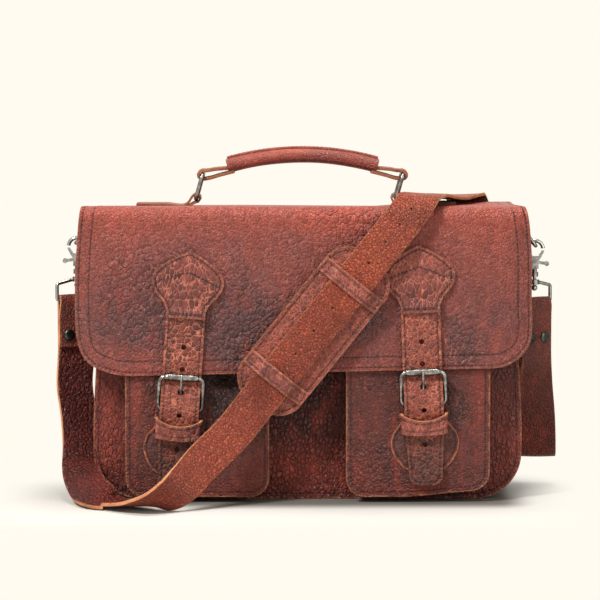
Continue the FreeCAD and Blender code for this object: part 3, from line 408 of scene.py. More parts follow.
def leather(
    name, main, deep, lifted, cell, crease, rows=(NO_ROW, NO_ROW), seed=0.0,
    stretch=(1.0, 1.0, 1.0), coarse=(0.6, 1.0), streak=0.3, vary=(0.86, 1.12), gate=(0.15, 1.0),
    rub=0.6, edge=(196, 132, 88), bloom=0.035, rough=0.5, relief=2.0,
):
    """Grained leather. cell is the cell size in mm, crease the creases' colour and share, rows the
    stitch rows' distances from the edge, coarse the part of large cells from light to dark, vary
    the cells' brightness, gate the least and most that a crease shows, and bloom a waxy haze.
    The colour goes from main to deep by the clouds and the dark mark, which on some pieces is dark
    hide and on others painted shade, then to lifted by the streaks and by the wear and painted highlights."""
    material = bpy.data.materials.new(name)
    material.use_nodes = True
    tree = material.node_tree
    shader = tree.nodes["Principled BSDF"]
    tone = place_group(tree, tone_tree, {"Seed": seed})
    grain = place_group(tree, grain_tree, {"Size mm": cell, "Stretch": stretch})
    border = place_group(tree, edge_tree, {"First row": rows[0], "Second row": rows[1]})
    # This attribute holds real wear and, on some pieces, painted highlights; the dark one holds dark hide and, on some
    # pieces, painted shade.
    worn = add(tree, "Attribute", attribute_name="worn").outputs["Fac"]
    dark = add(tree, "Attribute", attribute_name="dark").outputs["Fac"]
    size = remap(tree, maths(tree, "ADD", tone["Clouds"], dark), 0.2, 1.2, *coarse)
    tree.links.new(size, grain["Height"].node.inputs["Coarse"])
    deepness = maths(tree, "ADD", maths(tree, "MULTIPLY", tone["Clouds"], CLOUD_SHARE), dark, True)
    colour = blend_colour(tree, deepness, tinted(*main), tinted(*deep))
    lift = maths(tree, "ADD", maths(tree, "MULTIPLY", tone["Streaks"], streak), worn, True)
    lift = maths(tree, "MULTIPLY", lift, remap(tree, tone["Speckle"], 0.2, 0.6, 0.55, 1.0))
    colour = blend_colour(tree, lift, colour, tinted(*lifted))
    bright = remap(tree, grain["Cell"], 0.0, 1.0, *vary)
    grey = add(tree, "CombineColor", {0: bright, 1: bright, 2: bright}).outputs[0]
    colour = blend_colour(tree, 1.0, colour, grey, "MULTIPLY")
    crease_colour, crease_share = crease
    shows = remap(tree, tone["Marks"], 0.35, 0.62, *gate)
    share = maths(tree, "MULTIPLY", maths(tree, "MULTIPLY", grain["Crease"], shows), crease_share)
    share = maths(tree, "MULTIPLY", share, remap(tree, dark, 0.0, 1.0, 1.0, 0.25))
    colour = blend_colour(tree, share, colour, tinted(*crease_colour))
    share = maths(tree, "MULTIPLY", border["Groove"], 0.5)
    colour = blend_colour(tree, share, colour, tinted(*(0.45 * np.array(deep))))
    share = maths(tree, "MULTIPLY", border["Rub"], rub)
    colour = blend_colour(tree, share, colour, tinted(*edge))
    colour = blend_colour(tree, bloom, colour, BLOOM)
    tree.links.new(colour, shader.inputs["Base Color"])
    shine = remap(tree, tone["Clouds"], 0.0, 1.0, rough, rough - 0.1)
    shine = maths(tree, "ADD", shine, maths(tree, "MULTIPLY", grain["Crease"], 0.18))
    tree.links.new(shine, shader.inputs["Roughness"])
    raised = maths(tree, "MULTIPLY", grain["Height"], relief)
    raised = maths(tree, "SUBTRACT", raised, maths(tree, "MULTIPLY", border["Groove"], 0.5))
    raised = maths(tree, "ADD", raised, maths(tree, "MULTIPLY", tone["Speckle"], 0.08))
    bump = add(tree, "Bump", {"Height": raised, "Distance": MM, "Strength": 0.9})
    tree.links.new(bump.outputs[0], shader.inputs["Normal"])
    shader.inputs["Specular IOR Level"].default_value = GLOSS
    return material


flap_leather = leather(
    "flap_leather", (124, 52, 41), (76, 44, 44), (162, 64, 43), 4.6, ((178, 100, 86), 0.65),
    rows=FLAP_ROWS, streak=0.4, relief=2.3, stretch=(1.0, 1.0, 0.9), rub=0.25, rough=0.4,
    coarse=(0.0, 1.0), vary=(0.78, 1.2), gate=(0.6, 1.0),
)
body_leather = leather(
    "body_leather", (104, 37, 28), (42, 16, 14), (176, 72, 52), 4.2, ((24, 9, 7), 0.7),
    rows=(BODY_ROW, NO_ROW), streak=0.45, relief=2.6, seed=1.3, rough=0.3,
    stretch=(1.2, 1.2, 0.8), gate=(0.5, 1.0),
)
pocket_leather = leather(
    "pocket_leather", (92, 36, 29), (48, 24, 21), (162, 62, 41), 4.0, ((136, 70, 54), 0.5),
    rows=(POCKET_ROW, NO_ROW), streak=0.45, relief=2.3, seed=2.7, rough=0.36,
    coarse=(0.1, 0.9), vary=(0.76, 1.2),
)
patch_leather = leather(
    "patch_leather", (118, 50, 41), (78, 38, 32), (158, 68, 51), 5.0, ((200, 114, 90), 0.95),
    rows=(PATCH_ROW, NO_ROW), streak=0.35, relief=1.5, seed=3.1, stretch=(1.35, 1.0, 0.65),
    rub=0.2, gate=(0.35, 1.0), vary=(0.65, 1.3),
)
lower_leather = leather(
    "lower_leather", (78, 33, 27), (54, 25, 21), (164, 76, 50), 4.6, ((150, 82, 60), 0.4),
    rows=(PATCH_ROW, NO_ROW), streak=0.25, relief=1.4, seed=9.3, rub=0.7, edge=(206, 118, 74),
)
closing_leather = leather(
    "closing_leather", (112, 43, 31), (72, 32, 26), (164, 70, 45), 5.2, ((208, 120, 92), 0.95),
    rows=(PATCH_ROW, NO_ROW), streak=0.3, relief=1.7, seed=4.2, rub=0.2, vary=(0.6, 1.3),
    gate=(0.5, 1.0),
)
strap_leather = leather(
    "strap_leather", (176, 78, 50), (104, 44, 34), (196, 92, 60), 2.4, ((92, 36, 25), 0.85),
    streak=0.3, relief=2.6, bloom=0.012, seed=5.5, rub=0.5, rough=0.4, vary=(0.84, 1.14),
    gate=(0.85, 1.0), coarse=(1.0, 1.0),
)
strap_back_leather = leather(
    "strap_back_leather", (112, 32, 21), (78, 22, 15), (140, 48, 30), 3.4, ((26, 8, 6), 0.95),
    streak=0.2, relief=2.0, bloom=0.0, seed=6.1, rub=0.5, rough=0.38, gate=(0.7, 1.0),
    coarse=(1.0, 1.0),
)
pad_leather = leather(
    "pad_leather", (102, 36, 26), (66, 28, 22), (164, 72, 49), 4.6, ((194, 106, 80), 0.85),
    rows=(PAD_ROW, NO_ROW), streak=0.25, relief=1.6, seed=7.9, rub=0.3, vary=(0.62, 1.3),
    gate=(0.5, 1.0),
)
handle_leather = leather(
    "handle_leather", (144, 60, 44), (84, 37, 30), (186, 90, 62), 2.8, ((96, 40, 31), 0.6),
    streak=0.35, relief=1.0, seed=8.4, rub=0.2, rough=0.38,
)
print("leathers:", [m.name for m in bpy.data.materials])

# %% [markdown]
# ## Cut edges, flesh side, thread and metal
# A cut edge shows pale fibres. The flesh side is a soft brown suede. The thread is waxed and dark.
# The buckles are antique nickel and the snap hooks are plain nickel, each with a film of tarnish;
# a painted dark reflection darkens their colour where the metal turns away from the eye.

# %% The other materials
def fibrous(name, colour, second, scale, roughness, relief):
    """Pale fibres or suede: two colours mixed by stretched noise, which also raises the surface."""
    material = bpy.data.materials.new(name)
    material.use_nodes = True
    tree = material.node_tree
    shader = tree.nodes["Principled BSDF"]
    coordinates = add(tree, "TexCoord").outputs["Object"]
    fibre = add(tree, "TexNoise", {"Vector": coordinates, "Scale": scale, "Detail": 4.0}).outputs[0]
    patches = add(tree, "TexNoise", {"Vector": coordinates, "Scale": scale / 14}).outputs[0]
    share = remap(tree, maths(tree, "ADD", fibre, patches), 0.75, 1.3)
    tree.links.new(
        blend_colour(tree, share, tinted(*colour), tinted(*second)), shader.inputs["Base Color"]
    )
    bump = add(tree, "Bump", {"Height": fibre, "Distance": MM, "Strength": relief})
    tree.links.new(bump.outputs[0], shader.inputs["Normal"])
    shader.inputs["Roughness"].default_value = roughness
    shader.inputs["Specular IOR Level"].default_value = 0.25
    return material


def metal(name, colour, second, roughness, wear):
    """Metal with a film of tarnish: second shows where the noise lets it. A painted dark reflection
    darkens the colour where the metal turns away from the eye."""
    material = bpy.data.materials.new(name)
    material.use_nodes = True
    tree = material.node_tree
    shader = tree.nodes["Principled BSDF"]
    coordinates = add(tree, "TexCoord").outputs["Object"]
    film = add(tree, "TexNoise", {"Vector": coordinates, "Scale": 260.0, "Detail": 5.0}).outputs[0]
    share = remap(tree, film, 0.5 - wear, 0.5 + wear)
    colour = blend_colour(tree, share, tinted(*colour), tinted(*second))
    # A painted dark reflection: the colour turns dark where the metal faces away from the eye.
    side = remap(tree, add(tree, "LayerWeight", {"Blend": 0.5}).outputs["Facing"], 0.1, 0.65)
    colour = blend_colour(tree, side, colour, tinted(*(0.25 * np.array(second))))
    tree.links.new(colour, shader.inputs["Base Color"])
    rough = remap(tree, film, 0.3, 0.7, roughness - 0.08, roughness + 0.12)
    tree.links.new(rough, shader.inputs["Roughness"])
    scratches = add(tree, "TexNoise", {"Vector": coordinates, "Scale": 1800.0}).outputs[0]
    bump = add(tree, "Bump", {"Height": scratches, "Distance": MM, "Strength": 0.04})
    tree.links.new(bump.outputs[0], shader.inputs["Normal"])
    shader.inputs["Metallic"].default_value = 1.0
    return material


raw_edge = fibrous("raw_edge", (206, 142, 98), (156, 94, 66), 900, 0.75, 0.3)
dark_edge = fibrous("dark_edge", (120, 70, 52), (84, 46, 38), 900, 0.7, 0.3)
brown_edge = fibrous("brown_edge", (158, 98, 68), (106, 60, 44), 900, 0.7, 0.3)
flesh = fibrous("flesh", (140, 88, 62), (112, 68, 50), 700, 0.85, 0.35)
thread = fibrous("thread", (56, 27, 23), (38, 18, 16), 2600, 0.6, 0.2)
nickel = metal("nickel", (206, 204, 200), (118, 116, 113), 0.2, 0.25)
antique = metal("antique_nickel", (172, 168, 163), (92, 88, 86), 0.26, 0.22)
patina = metal("patina", (86, 92, 84), (48, 50, 44), 0.3, 0.2)
print("finishes:", len(bpy.data.materials))

# %% [markdown]
# ## From a flat pattern to a bent sheet
# A leather piece starts as a flat pattern, as on the cutting table: a is the distance across it
# and b the distance up it, in millimetres. span(b) gives its left and right limits. A second
# function, place(a, b), says where each point of the pattern goes on the bag. Points crowd
# towards the edges, where the corners and the rubbed rims need them.

# %% Smooth curves
def ease(value, low=0.0, high=1.0):
    """0 below low, 1 above high, and 3t^2 - 2t^3 between them."""
    t = np.clip((np.asarray(value, float) - low) / (high - low), 0, 1)
    return t * t * (3 - 2 * t)


def bell(x, z, middle, size):
    """A soft spot: e to the minus squared distance over size squared."""
    return np.exp(-(((x - middle[0]) / size[0]) ** 2) - ((z - middle[1]) / size[1]) ** 2)


def spline(points, count):
    """A smooth curve through points, at count equal steps. Between two points it is the cubic that
    has their places and slopes; a slope is the mean of the chords on either side, each weighted
    by the length of the other, so that uneven steps make no loops."""
    points = np.asarray(points, float)
    step = np.linalg.norm(np.diff(points[:, :3], axis=0), axis=1)
    place = np.concatenate([[0], np.cumsum(step)])
    chord = np.diff(points, axis=0) / step[:, None]
    slope = np.empty_like(points)
    slope[0], slope[-1] = chord[0], chord[-1]
    slope[1:-1] = chord[:-1] * step[1:, None] + chord[1:] * step[:-1, None]
    slope[1:-1] /= (step[:-1] + step[1:])[:, None]
    at = np.linspace(0, place[-1], 40 * len(points))
    i = np.clip(np.searchsorted(place, at, side="right") - 1, 0, len(step) - 1)
    f = ((at - place[i]) / step[i])[:, None]
    h = step[i][:, None]
    curve = (2 * f**3 - 3 * f**2 + 1) * points[i] + (f**3 - 2 * f**2 + f) * h * slope[i]
    curve += (3 * f**2 - 2 * f**3) * points[i + 1] + (f**3 - f**2) * h * slope[i + 1]
    run = np.concatenate([[0], np.cumsum(np.linalg.norm(np.diff(curve[:, :3], axis=0), axis=1))])
    even = np.linspace(0, run[-1], count)
    return np.stack([np.interp(even, run, column) for column in curve.T], axis=1), run[-1]


def shaped(rows):
    """A smooth function through (place, value) rows."""
    curve = spline(rows, 400)[0]
    order = np.argsort(curve[:, 0])
    return lambda b: np.interp(b, curve[order, 0], curve[order, 1])


# %% The flat pattern
def pattern(span, low, high, columns, rows, even=False):
    """A grid of (a, b): rows from low to high, and on each row points from one limit to the other.
    Unless even, the steps go as the cosine of an evenly growing angle: small at both ends."""
    across = np.linspace(0, 1, columns + 1)
    up = np.linspace(0, 1, rows + 1)
    if not even:
        across = (1 - np.cos(np.pi * across)) / 2
        up = (1 - np.cos(np.pi * up)) / 2
    b = low + (high - low) * up
    left, right = span(b)
    a = left[:, None] + (right - left)[:, None] * across
    return a, np.broadcast_to(b[:, None], a.shape).copy()


def outline(span, low, high):
    """The pattern's edge as one closed path, counter-clockwise from the lower left corner."""
    b = low + (high - low) * (1 - np.cos(np.pi * np.linspace(0, 1, 260))) / 2
    left, right = span(b)
    along = np.linspace(0, 1, 80)[1:-1]
    bottom = left[0] + (right[0] - left[0]) * along
    bottom = np.stack([bottom, np.full_like(along, low)], axis=1)
    top = right[-1] + (left[-1] - right[-1]) * along
    top = np.stack([top, np.full_like(along, high)], axis=1)
    sides = np.stack([right, b], axis=1), np.stack([left, b], axis=1)[::-1]
    return np.concatenate([bottom, sides[0], top, sides[1]])


def away(points, path):
    """How far each point is from the nearest sample of a path."""
    best = np.full(len(points), 1e9)
    for part in np.array_split(path, 12):
        gap = points[:, None, :] - part[None, :, :]
        best = np.minimum(best, np.sqrt((gap**2).sum(axis=2)).min(axis=1))
    return best


def punch(a, b, holes):
    """Opens round holes in an even pattern. Around each hole's middle a square block of cells goes,
    and the points about it move from the square's edge onto the circle, fading out one block on."""
    keep = np.ones((a.shape[0] - 1, a.shape[1] - 1), bool)
    cell = abs(b[1, 0] - b[0, 0])
    for hole_a, hole_b, radius in holes:
        i = int(np.argmin(abs(b[:, 0] - hole_b)))
        j = int(np.argmin(abs(a[i] - hole_a)))
        k = max(1, round(radius / cell))
        rows = slice(i - 2 * k, i + 2 * k + 1)
        columns = slice(j - 2 * k, j + 2 * k + 1)
        da = a[rows, columns] - a[i, j]
        db = b[rows, columns] - b[i, j]
        square = np.maximum(abs(da), abs(db)) / (k * cell)
        length = np.maximum(np.hypot(da, db), 1e-6)
        share = np.clip(square - 1, 0, 1)
        size = (radius * (1 - share) + length * share) / length
        a[rows, columns] = a[i, j] + da * size
        b[rows, columns] = b[i, j] + db * size
        keep[i - k : i + k, j - k : j + k] = False
    return keep


# %% A mesh from a grid of points
def into_mesh(name, points, faces, materials, values=(), caps=()):
    """Millimetre points and faces put into a smooth mesh in metres, without unused points. caps
    are extra many-sided faces that close the ends of a tube."""
    flat = np.concatenate([np.ravel(faces), *[np.ravel(cap) for cap in caps]]).astype(int)
    used = np.unique(flat)
    new_number = np.zeros(len(points), int)
    new_number[used] = np.arange(len(used))
    polygons = new_number[faces].tolist() + [new_number[cap].tolist() for cap in caps]
    mesh = bpy.data.meshes.new(name)
    mesh.from_pydata((points[used] * MM).tolist(), [], polygons)
    mesh.polygons.foreach_set("use_smooth", np.ones(len(polygons), bool))
    for label, value in dict(values).items():
        layer = mesh.attributes.new(label, "FLOAT", "POINT")
        layer.data.foreach_set("value", np.asarray(value, np.float32).ravel()[used])
    for material in materials:
        mesh.materials.append(material)
    piece = bpy.data.objects.new(name, mesh)
    scene.collection.objects.link(piece)
    return piece


def quads(rows, columns, keep):
    """The kept faces of a grid: each joins a point, its right neighbour and the two above them."""
    index = np.arange(rows * columns).reshape(rows, columns)
    corners = index[:-1, :-1], index[:-1, 1:], index[1:, 1:], index[1:, :-1]
    return np.stack(corners, axis=-1)[keep]


def tube_quads(rows, columns, first=0, closed=False):
    """The faces of a grid whose last column meets its first, numbered from first. When it is
    closed, its last row meets its first row too."""
    index = np.arange(rows * columns).reshape(rows, columns) + first
    wrapped = np.concatenate([index, index[:, :1]], axis=1)
    if closed:
        wrapped = np.concatenate([wrapped, wrapped[:1]], axis=0)
    corners = wrapped[:-1, :-1], wrapped[:-1, 1:], wrapped[1:, 1:], wrapped[1:, :-1]
    return index, np.stack(corners, axis=-1).reshape(-1, 4)


def rounded_rim(piece, width, angle):
    """A small round on the edges that are sharper than angle, in degrees."""
    rim = piece.modifiers.new("rim", "BEVEL")
    rim.width = width * MM
    rim.segments = 2
    rim.limit_method = "ANGLE"
    rim.angle_limit = math.radians(angle)


def nowhere(x, z):
    """The wear and highlight, and the dark, of a piece that has none: 0 at every point."""
    return 0 * x


def sheet(
    name, place, span, low, high, thickness, grain_side, body=None, cells=(40, 40), even=False,
    holes=(), cut=None, worn=nowhere, dark=nowhere, rim=raw_edge, behind=flesh, bevel=0.45,
    replaces=(), slot=None,
):
    """A piece of leather: a pattern put in place, given a thickness inward and a rounded rim. cut
    picks the part of the outline that counts as a cut edge."""
    columns, rows = cells
    a, b = pattern(span, low, high, columns, rows, even)
    keep = punch(a, b, holes)
    flat = np.stack([a.ravel(), b.ravel()], axis=1)
    points = place(flat[:, 0], flat[:, 1])
    path = outline(span, low, high)
    x, z = points[:, 0], points[:, 2]
    edge_mm = away(flat, path[cut(path)] if cut else path)
    values = {"edge_mm": edge_mm, "worn": worn(x, z), "dark": dark(x, z)}
    faces = quads(rows + 1, columns + 1, keep)
    piece = into_mesh(name, points, faces, [grain_side, rim, behind], values)
    wall = piece.modifiers.new("thickness", "SOLIDIFY")
    wall.thickness = thickness * MM
    wall.offset = -1
    wall.material_offset = 2
    wall.material_offset_rim = 1
    rounded_rim(piece, bevel, 50)
    if body:
        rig.ride(piece, body)
    if replaces:
        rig.replaces(piece, *replaces)
    if slot:
        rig.slot(piece, slot)
    return piece


# %% [markdown]
# ## Stitches
# A stitch is a short fat thread that dives into the leather at both ends. Each row is one mesh:
# a template of thirty points is copied to every place on the row by array sums, turned to run
# along the row and to stand on the leather.

# %% Rows of stitches
STITCH_PITCH = 3.6
STITCH_SUNK = 0.12
BREAK = 9
ring = np.linspace(0, 2 * np.pi, 7)[:-1]
ALONG = np.array([-1.35, -0.95, 0.0, 0.95, 1.35])
PLUMP = np.array([0.15, 0.8, 1.0, 0.8, 0.15])
template = np.stack(
    [
        np.repeat(ALONG, 6),
        (PLUMP[:, None] * np.cos(ring) * 0.42).ravel(),
        (PLUMP[:, None] * (np.sin(ring) * 0.34 + 0.2) - 0.2).ravel(),
    ],
    axis=1,
)
around = np.arange(6)
first = np.concatenate([6 * k + around for k in range(4)])
second = np.concatenate([6 * k + (around + 1) % 6 for k in range(4)])
template_faces = np.stack([first, second, second + 6, first + 6], axis=1)
template_faces = np.concatenate(
    [template_faces, [[3, 2, 1, 0], [5, 4, 3, 0], [24, 25, 26, 27], [24, 27, 28, 29]]]
)


def inset(path, distance, where=None):
    """The parts of an edge path moved inward by distance: each point goes along its left-hand
    normal, and points that come nearer to another part of the edge are dropped."""
    way = np.roll(path, -1, axis=0) - np.roll(path, 1, axis=0)
    way /= np.maximum(np.linalg.norm(way, axis=1), 1e-9)[:, None]
    moved = path + distance * np.stack([-way[:, 1], way[:, 0]], axis=1)
    good = away(moved, path) > 0.96 * distance
    if where is not None:
        good &= where(moved)
    moved = moved[good]
    gap = np.linalg.norm(np.roll(moved, -1, axis=0) - moved, axis=1)
    moved = np.roll(moved, -int(np.argmax(gap)) - 1, axis=0)
    breaks = np.where(np.linalg.norm(np.diff(moved, axis=0), axis=1) > BREAK)[0] + 1
    return [part for part in np.split(moved, breaks) if len(part) > 2]


def stitch(name, place, rows, body=None, scale=1.0):
    """Evenly spaced stitches along rows, which are paths on the pattern that place puts on the bag."""
    points, faces = [], []
    for row in rows:
        row = np.asarray(row, float)
        run = np.concatenate([[0], np.cumsum(np.linalg.norm(np.diff(row, axis=0), axis=1))])
        at = np.arange(STITCH_PITCH / 2, run[-1], STITCH_PITCH)
        a, b = np.interp(at, run, row[:, 0]), np.interp(at, run, row[:, 1])
        da = np.interp(at + 0.3, run, row[:, 0]) - np.interp(at - 0.3, run, row[:, 0])
        db = np.interp(at + 0.3, run, row[:, 1]) - np.interp(at - 0.3, run, row[:, 1])
        middle = place(a, b)
        way = place(a + da / 2, b + db / 2) - place(a - da / 2, b - db / 2)
        way /= np.maximum(np.linalg.norm(way, axis=1), 1e-9)[:, None]
        up = np.cross(place(a + 0.2, b) - place(a - 0.2, b), place(a, b + 0.2) - place(a, b - 0.2))
        up /= np.maximum(np.linalg.norm(up, axis=1), 1e-9)[:, None]
        side = np.cross(up, way)
        local = template * scale
        made = middle[:, None, :] + local[None, :, 0, None] * way[:, None, :]
        made += local[None, :, 1, None] * side[:, None, :]
        made += (local[None, :, 2, None] - STITCH_SUNK) * up[:, None, :]
        start = sum(len(p) for p in points)
        copies = np.arange(len(at))[:, None, None] * len(template)
        faces.append((template_faces[None] + copies + start).reshape(-1, 4))
        points.append(made.reshape(-1, 3))
    piece = into_mesh(name, np.concatenate(points), np.concatenate(faces), [thread])
    if body:
        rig.ride(piece, body)
    return piece


# %% [markdown]
# ## The compartment
# Two flat panels are joined by a long strip. The panels' cut edges stand proud of the strip at
# the sides, with one row of stitches just inside them. Leather this thick bellies out a little
# when the bag is full, and the wide areas dimple along the grain.

# %% The panels
BODY_HALF = 190.0
BODY_CORNER = 48.0
FRONT_Y = -45.0
BACK_Y = 45.0
FRONT_HEIGHT = 246.0
BACK_HEIGHT = 256.0
BACK_RISE = 7.3
GUSSET_IN = 4.0


def rounded_below(half, radius, low=0.0):
    """Limits of an upright shape with round lower corners: the circle's width is taken off."""

    def span(b):
        drop = np.clip((radius + low - b) / radius, 0, 1)
        cut = radius * (1 - np.sqrt(1 - drop**2))
        return cut - half, half - cut

    return span


def u_path(half, radius, low, high):
    """A path down the left side, along the bottom and up the right side, with quarter-circle
    corners. Returns x and z as functions of the distance b, and the whole length."""
    straight = high - low - radius
    quarter = radius * np.pi / 2
    flat = 2 * (half - radius)

    def at(b):
        down = np.clip(b, 0, straight)
        first = np.clip(b - straight, 0, quarter) / radius
        along = np.clip(b - straight - quarter, 0, flat)
        last = np.clip(b - straight - quarter - flat, 0, quarter) / radius
        rise = np.clip(b - straight - 2 * quarter - flat, 0, straight)
        x = -half + radius * (1 - np.cos(first)) + along + radius * np.sin(last)
        z = high - down - radius * np.sin(first) + radius * (1 - np.cos(last)) + rise
        return x, z

    return at, 2 * straight + 2 * quarter + flat


def ripple(x, z, seed, size):
    """Low uneven waves: three sines of different directions and lengths, added together."""
    waves = np.sin(x / 23 + 1.7 * seed + 0.6 * np.sin(z / 31)) * np.sin(z / 37 + seed)
    waves += 0.5 * np.sin(x / 11 + z / 17 + 2.3 * seed) + 0.35 * np.sin(x / 7.3 - z / 13 + seed)
    return size * waves / 1.85


def panel_place(a, b):
    """The front panel: flat, with a belly that fades to nothing at the edges."""
    belly = 2.4 * ease(BODY_HALF - abs(a), 0, 60) * ease(b, 0, 60)
    return np.stack([a, FRONT_Y - belly + ripple(a, b, 1, 0.5) * ease(b, 3, 30), b], axis=1)


def top_sag(a, back):
    """How far the top sags at a distance back from the fold: less where the shoulder strap
    crosses it, and with a slow sine across."""
    return (5.5 + 0.4 * np.sin(a / 41)) * ease(back, 0, 75) * (1 - 0.6 * ease(a, 60, 105))


def back_place(a, b):
    """The back panel, seen from behind, so that a runs the other way. Its top meets the flap."""
    belly = 2.0 * ease(BODY_HALF - abs(a), 0, 60) * ease(b, 0, 50) * ease(262 - b, 0, 40)
    top = BACK_RISE - top_sag(-a, 75.0)
    y = BACK_Y + belly - ripple(a, b, 2, 0.3) * ease(b, 3, 30)
    return np.stack([-a, y, b + top * ease(b, 225, 256)], axis=1)


body_span = rounded_below(BODY_HALF, BODY_CORNER)
wide_span = rounded_below(BODY_HALF + 3.5, BODY_CORNER - 6.0)


def front_span(b):
    """The front panel spreads below the flap, where the filled bag rests on the floor."""
    share = ease(150 - b, 0, 90)
    return tuple(x + (wide - x) * share for x, wide in zip(body_span(b), wide_span(b)))


panel_row = inset(outline(front_span, 0, FRONT_HEIGHT), BODY_ROW, lambda p: p[:, 1] < 240)
sheet(
    "front_panel_leather", panel_place, front_span, 0, FRONT_HEIGHT, 3.0, body_leather, "bag",
    cells=(90, 80), replaces=["front_panel"], slot="body_leather",
    # On this panel the dark bell between the pockets is painted shade, and the bells of wear on the next lines paint
    # highlights on the lower middle and on both sides.
    dark=lambda x, z: 0.35 * bell(x, z, (-5, 75), (55, 70)),
    worn=lambda x, z: 0.5 * bell(x, z, (-8, 26), (60, 30)) + 0.35 * bell(x, z, (175, 40), (30, 60))
    + 0.6 * bell(x, z, (-180, 60), (18, 55)),
)
stitch("front_panel_stitches", panel_place, panel_row, "bag")
sheet(
    "back_panel_leather", back_place, body_span, 0, BACK_HEIGHT, 3.0, body_leather, "bag",
    cells=(90, 80), replaces=["back_panel"], slot="body_leather",
    worn=lambda x, z: 0.35 * bell(x, z, (0, 235), (150, 26)) + 0.3 * bell(x, z, (0, 10), (160, 20)),
)
back_row = inset(outline(body_span, 0, BACK_HEIGHT), BODY_ROW)
stitch("back_panel_stitches", back_place, back_row, "bag")
print("panels", round(2 * BODY_HALF), "mm wide")

# %% The gusset
body_path, gusset_length = u_path(
    BODY_HALF - GUSSET_IN, BODY_CORNER - GUSSET_IN, 0.0, FRONT_HEIGHT
)


def gusset_place(a, b):
    """The strip round the compartment. Its sides fold in softly along their middles."""
    x, z = body_path(b)
    fold = 5.0 * np.exp(-((a / 13) ** 2)) * ease(z, 30, 90) * ease(200 - z, 0, 40)
    return np.stack([x - np.sign(x) * fold, a, z], axis=1)


def band(low, high):
    """Limits of a plain band: low and high all along."""
    return lambda b: (np.full_like(b, low), np.full_like(b, high))


sheet(
    "gusset_leather", gusset_place, band(-42.0, 42.0), 0, gusset_length, 3.0, body_leather, "bag",
    cells=(24, 220), replaces=["base_gusset", "left_gusset", "right_gusset"],
    slot="body_leather", dark=lambda x, z: 0.3 * ease(60 - z, 0, 60),
)
print("gusset", round(gusset_length), "mm long")

# %% [markdown]
# ## The front pockets
# Each pocket is a face with round lower corners, held off the front panel by its own strip. The
# right-hand one has pulled up a little towards its outer corner.

# %% The pockets
POCKET_Y = -67.0
POCKET_TOP = 125.0
POCKET_LOW = 5.0
POCKET_HALF = 64.5
pocket_path, pocket_length = u_path(POCKET_HALF - 3, 12.0, POCKET_LOW + 3, POCKET_TOP)
pocket_span = rounded_below(POCKET_HALF, 17.0, POCKET_LOW)
pocket_row = inset(
    outline(pocket_span, POCKET_LOW, POCKET_TOP), POCKET_ROW, lambda p: p[:, 1] < POCKET_TOP - 6
)
# Each has a name, its middle, the lift of its outer corner and the gape of its mouth.
for name, middle, rise, mouth in (("left", -99.0, 0.0, 14.0), ("right", 99.0, 6.0, 0.0)):
    outer = 1 if middle > 0 else -1

    def lifted_corner(x, z, rise=rise):
        """The height z, raised towards the outer lower corner."""
        return z + rise * (1 - z / POCKET_TOP) * ease(x, -20, 62)

    def pocket_place(a, b, middle=middle, lifted_corner=lifted_corner, mouth=mouth):
        """The face: it puffs out by a product of three eases and gapes by a bell at the mouth."""
        puff = 2.0 * ease(64 - abs(a), 0, 40) * ease(b - POCKET_LOW, 0, 40) * ease(118 - b, 0, 40)
        y = POCKET_Y - puff + abs(ripple(a + middle, b, 3, 0.4)) * ease(b, 8, 40)
        y = y + mouth * bell(a, b, (25, 122), (19, 26))
        return np.stack([a + middle, y, lifted_corner(a, b)], axis=1)

    def side_place(a, b, middle=middle, lifted_corner=lifted_corner):
        """The strip: it follows the U and is squeezed in a bell about its middle line."""
        x, z = pocket_path(b)
        squeeze = 2.2 * np.exp(-(((a + 55) / 5) ** 2)) * ease(z, 20, 50)
        return np.stack([x + middle - np.sign(x) * squeeze, a, lifted_corner(x, z)], axis=1)

    sheet(
        name + "_pocket_leather", pocket_place, pocket_span, POCKET_LOW, POCKET_TOP, 3.0,
        pocket_leather, "bag", cells=(60, 60), replaces=[name + "_pocket_front"],
        slot="body_leather",
        worn=lambda x, z, m=middle, o=outer: 0.5 * bell(x, z, (m + o * 55, 95), (9, 34))
        + 0.35 * bell(x, z, (m, 8), (60, 9)) + 0.25 * bell(x, z, (m - o * 50, 30), (18, 30)),
        # The left pocket's dark near its mouth, right of the buckle, and along its top is painted shade under the
        # flap.
        dark=lambda x, z, m=middle: 0.3 * bell(x, z, (m, 60), (40, 36))
        + (m < 0) * (1.6 * bell(x, z, (m + 28, 112), (20, 26)) + 0.5 * ease(z, 92, 118)),
    )
    stitch(name + "_pocket_stitches", pocket_place, pocket_row, "bag")
    sheet(
        name + "_pocket_side", side_place, band(-64.2, -45.2), 0, pocket_length, 2.5,
        pocket_leather, "bag", cells=(12, 90), replaces=[name + "_pocket_gusset"],
        slot="body_leather",
    )
print("pocket strips", round(pocket_length), "mm long")

# %% [markdown]
# ## The flap
# One sheet goes from the back edge over the top and down the front. b is measured up from the
# hem. The hem is higher on the right. The sides swing back towards the bag, and the leather is
# lighter and redder along the top fold and darkened lower down, where hands and weather reach it.

# %% The flap
FLAP_FACE = -70.7
FLAP_TOP = 266.0
FOLD_RADIUS = 10.0
HEM = 118.0
up_front = FLAP_TOP - FOLD_RADIUS - HEM
round_fold = FOLD_RADIUS * np.pi / 2
over_top = 43.0 - FLAP_FACE - FOLD_RADIUS
BACK_ROLL = 3.0
flap_length = up_front + round_fold + over_top + BACK_ROLL * np.pi / 2
left_limit = shaped(
    [(0, -158), (1.2, -170), (5, -183), (11, -195), (19, -202), (32, -206.5), (50, -208),
     (80, -208), (115, -206), (143, -203), (160, -201), (264, -194)]
)
right_limit = shaped(
    [(0, 166), (1, 174), (5, 184), (12, 193), (22, 199), (36, 201), (60, 200.5),
     (115, 199.5), (142, 196), (160, 192), (264, 188)]
)


def flap_span(b):
    """The flap's limits: each side has its own smooth curve."""
    return left_limit(b), right_limit(b)


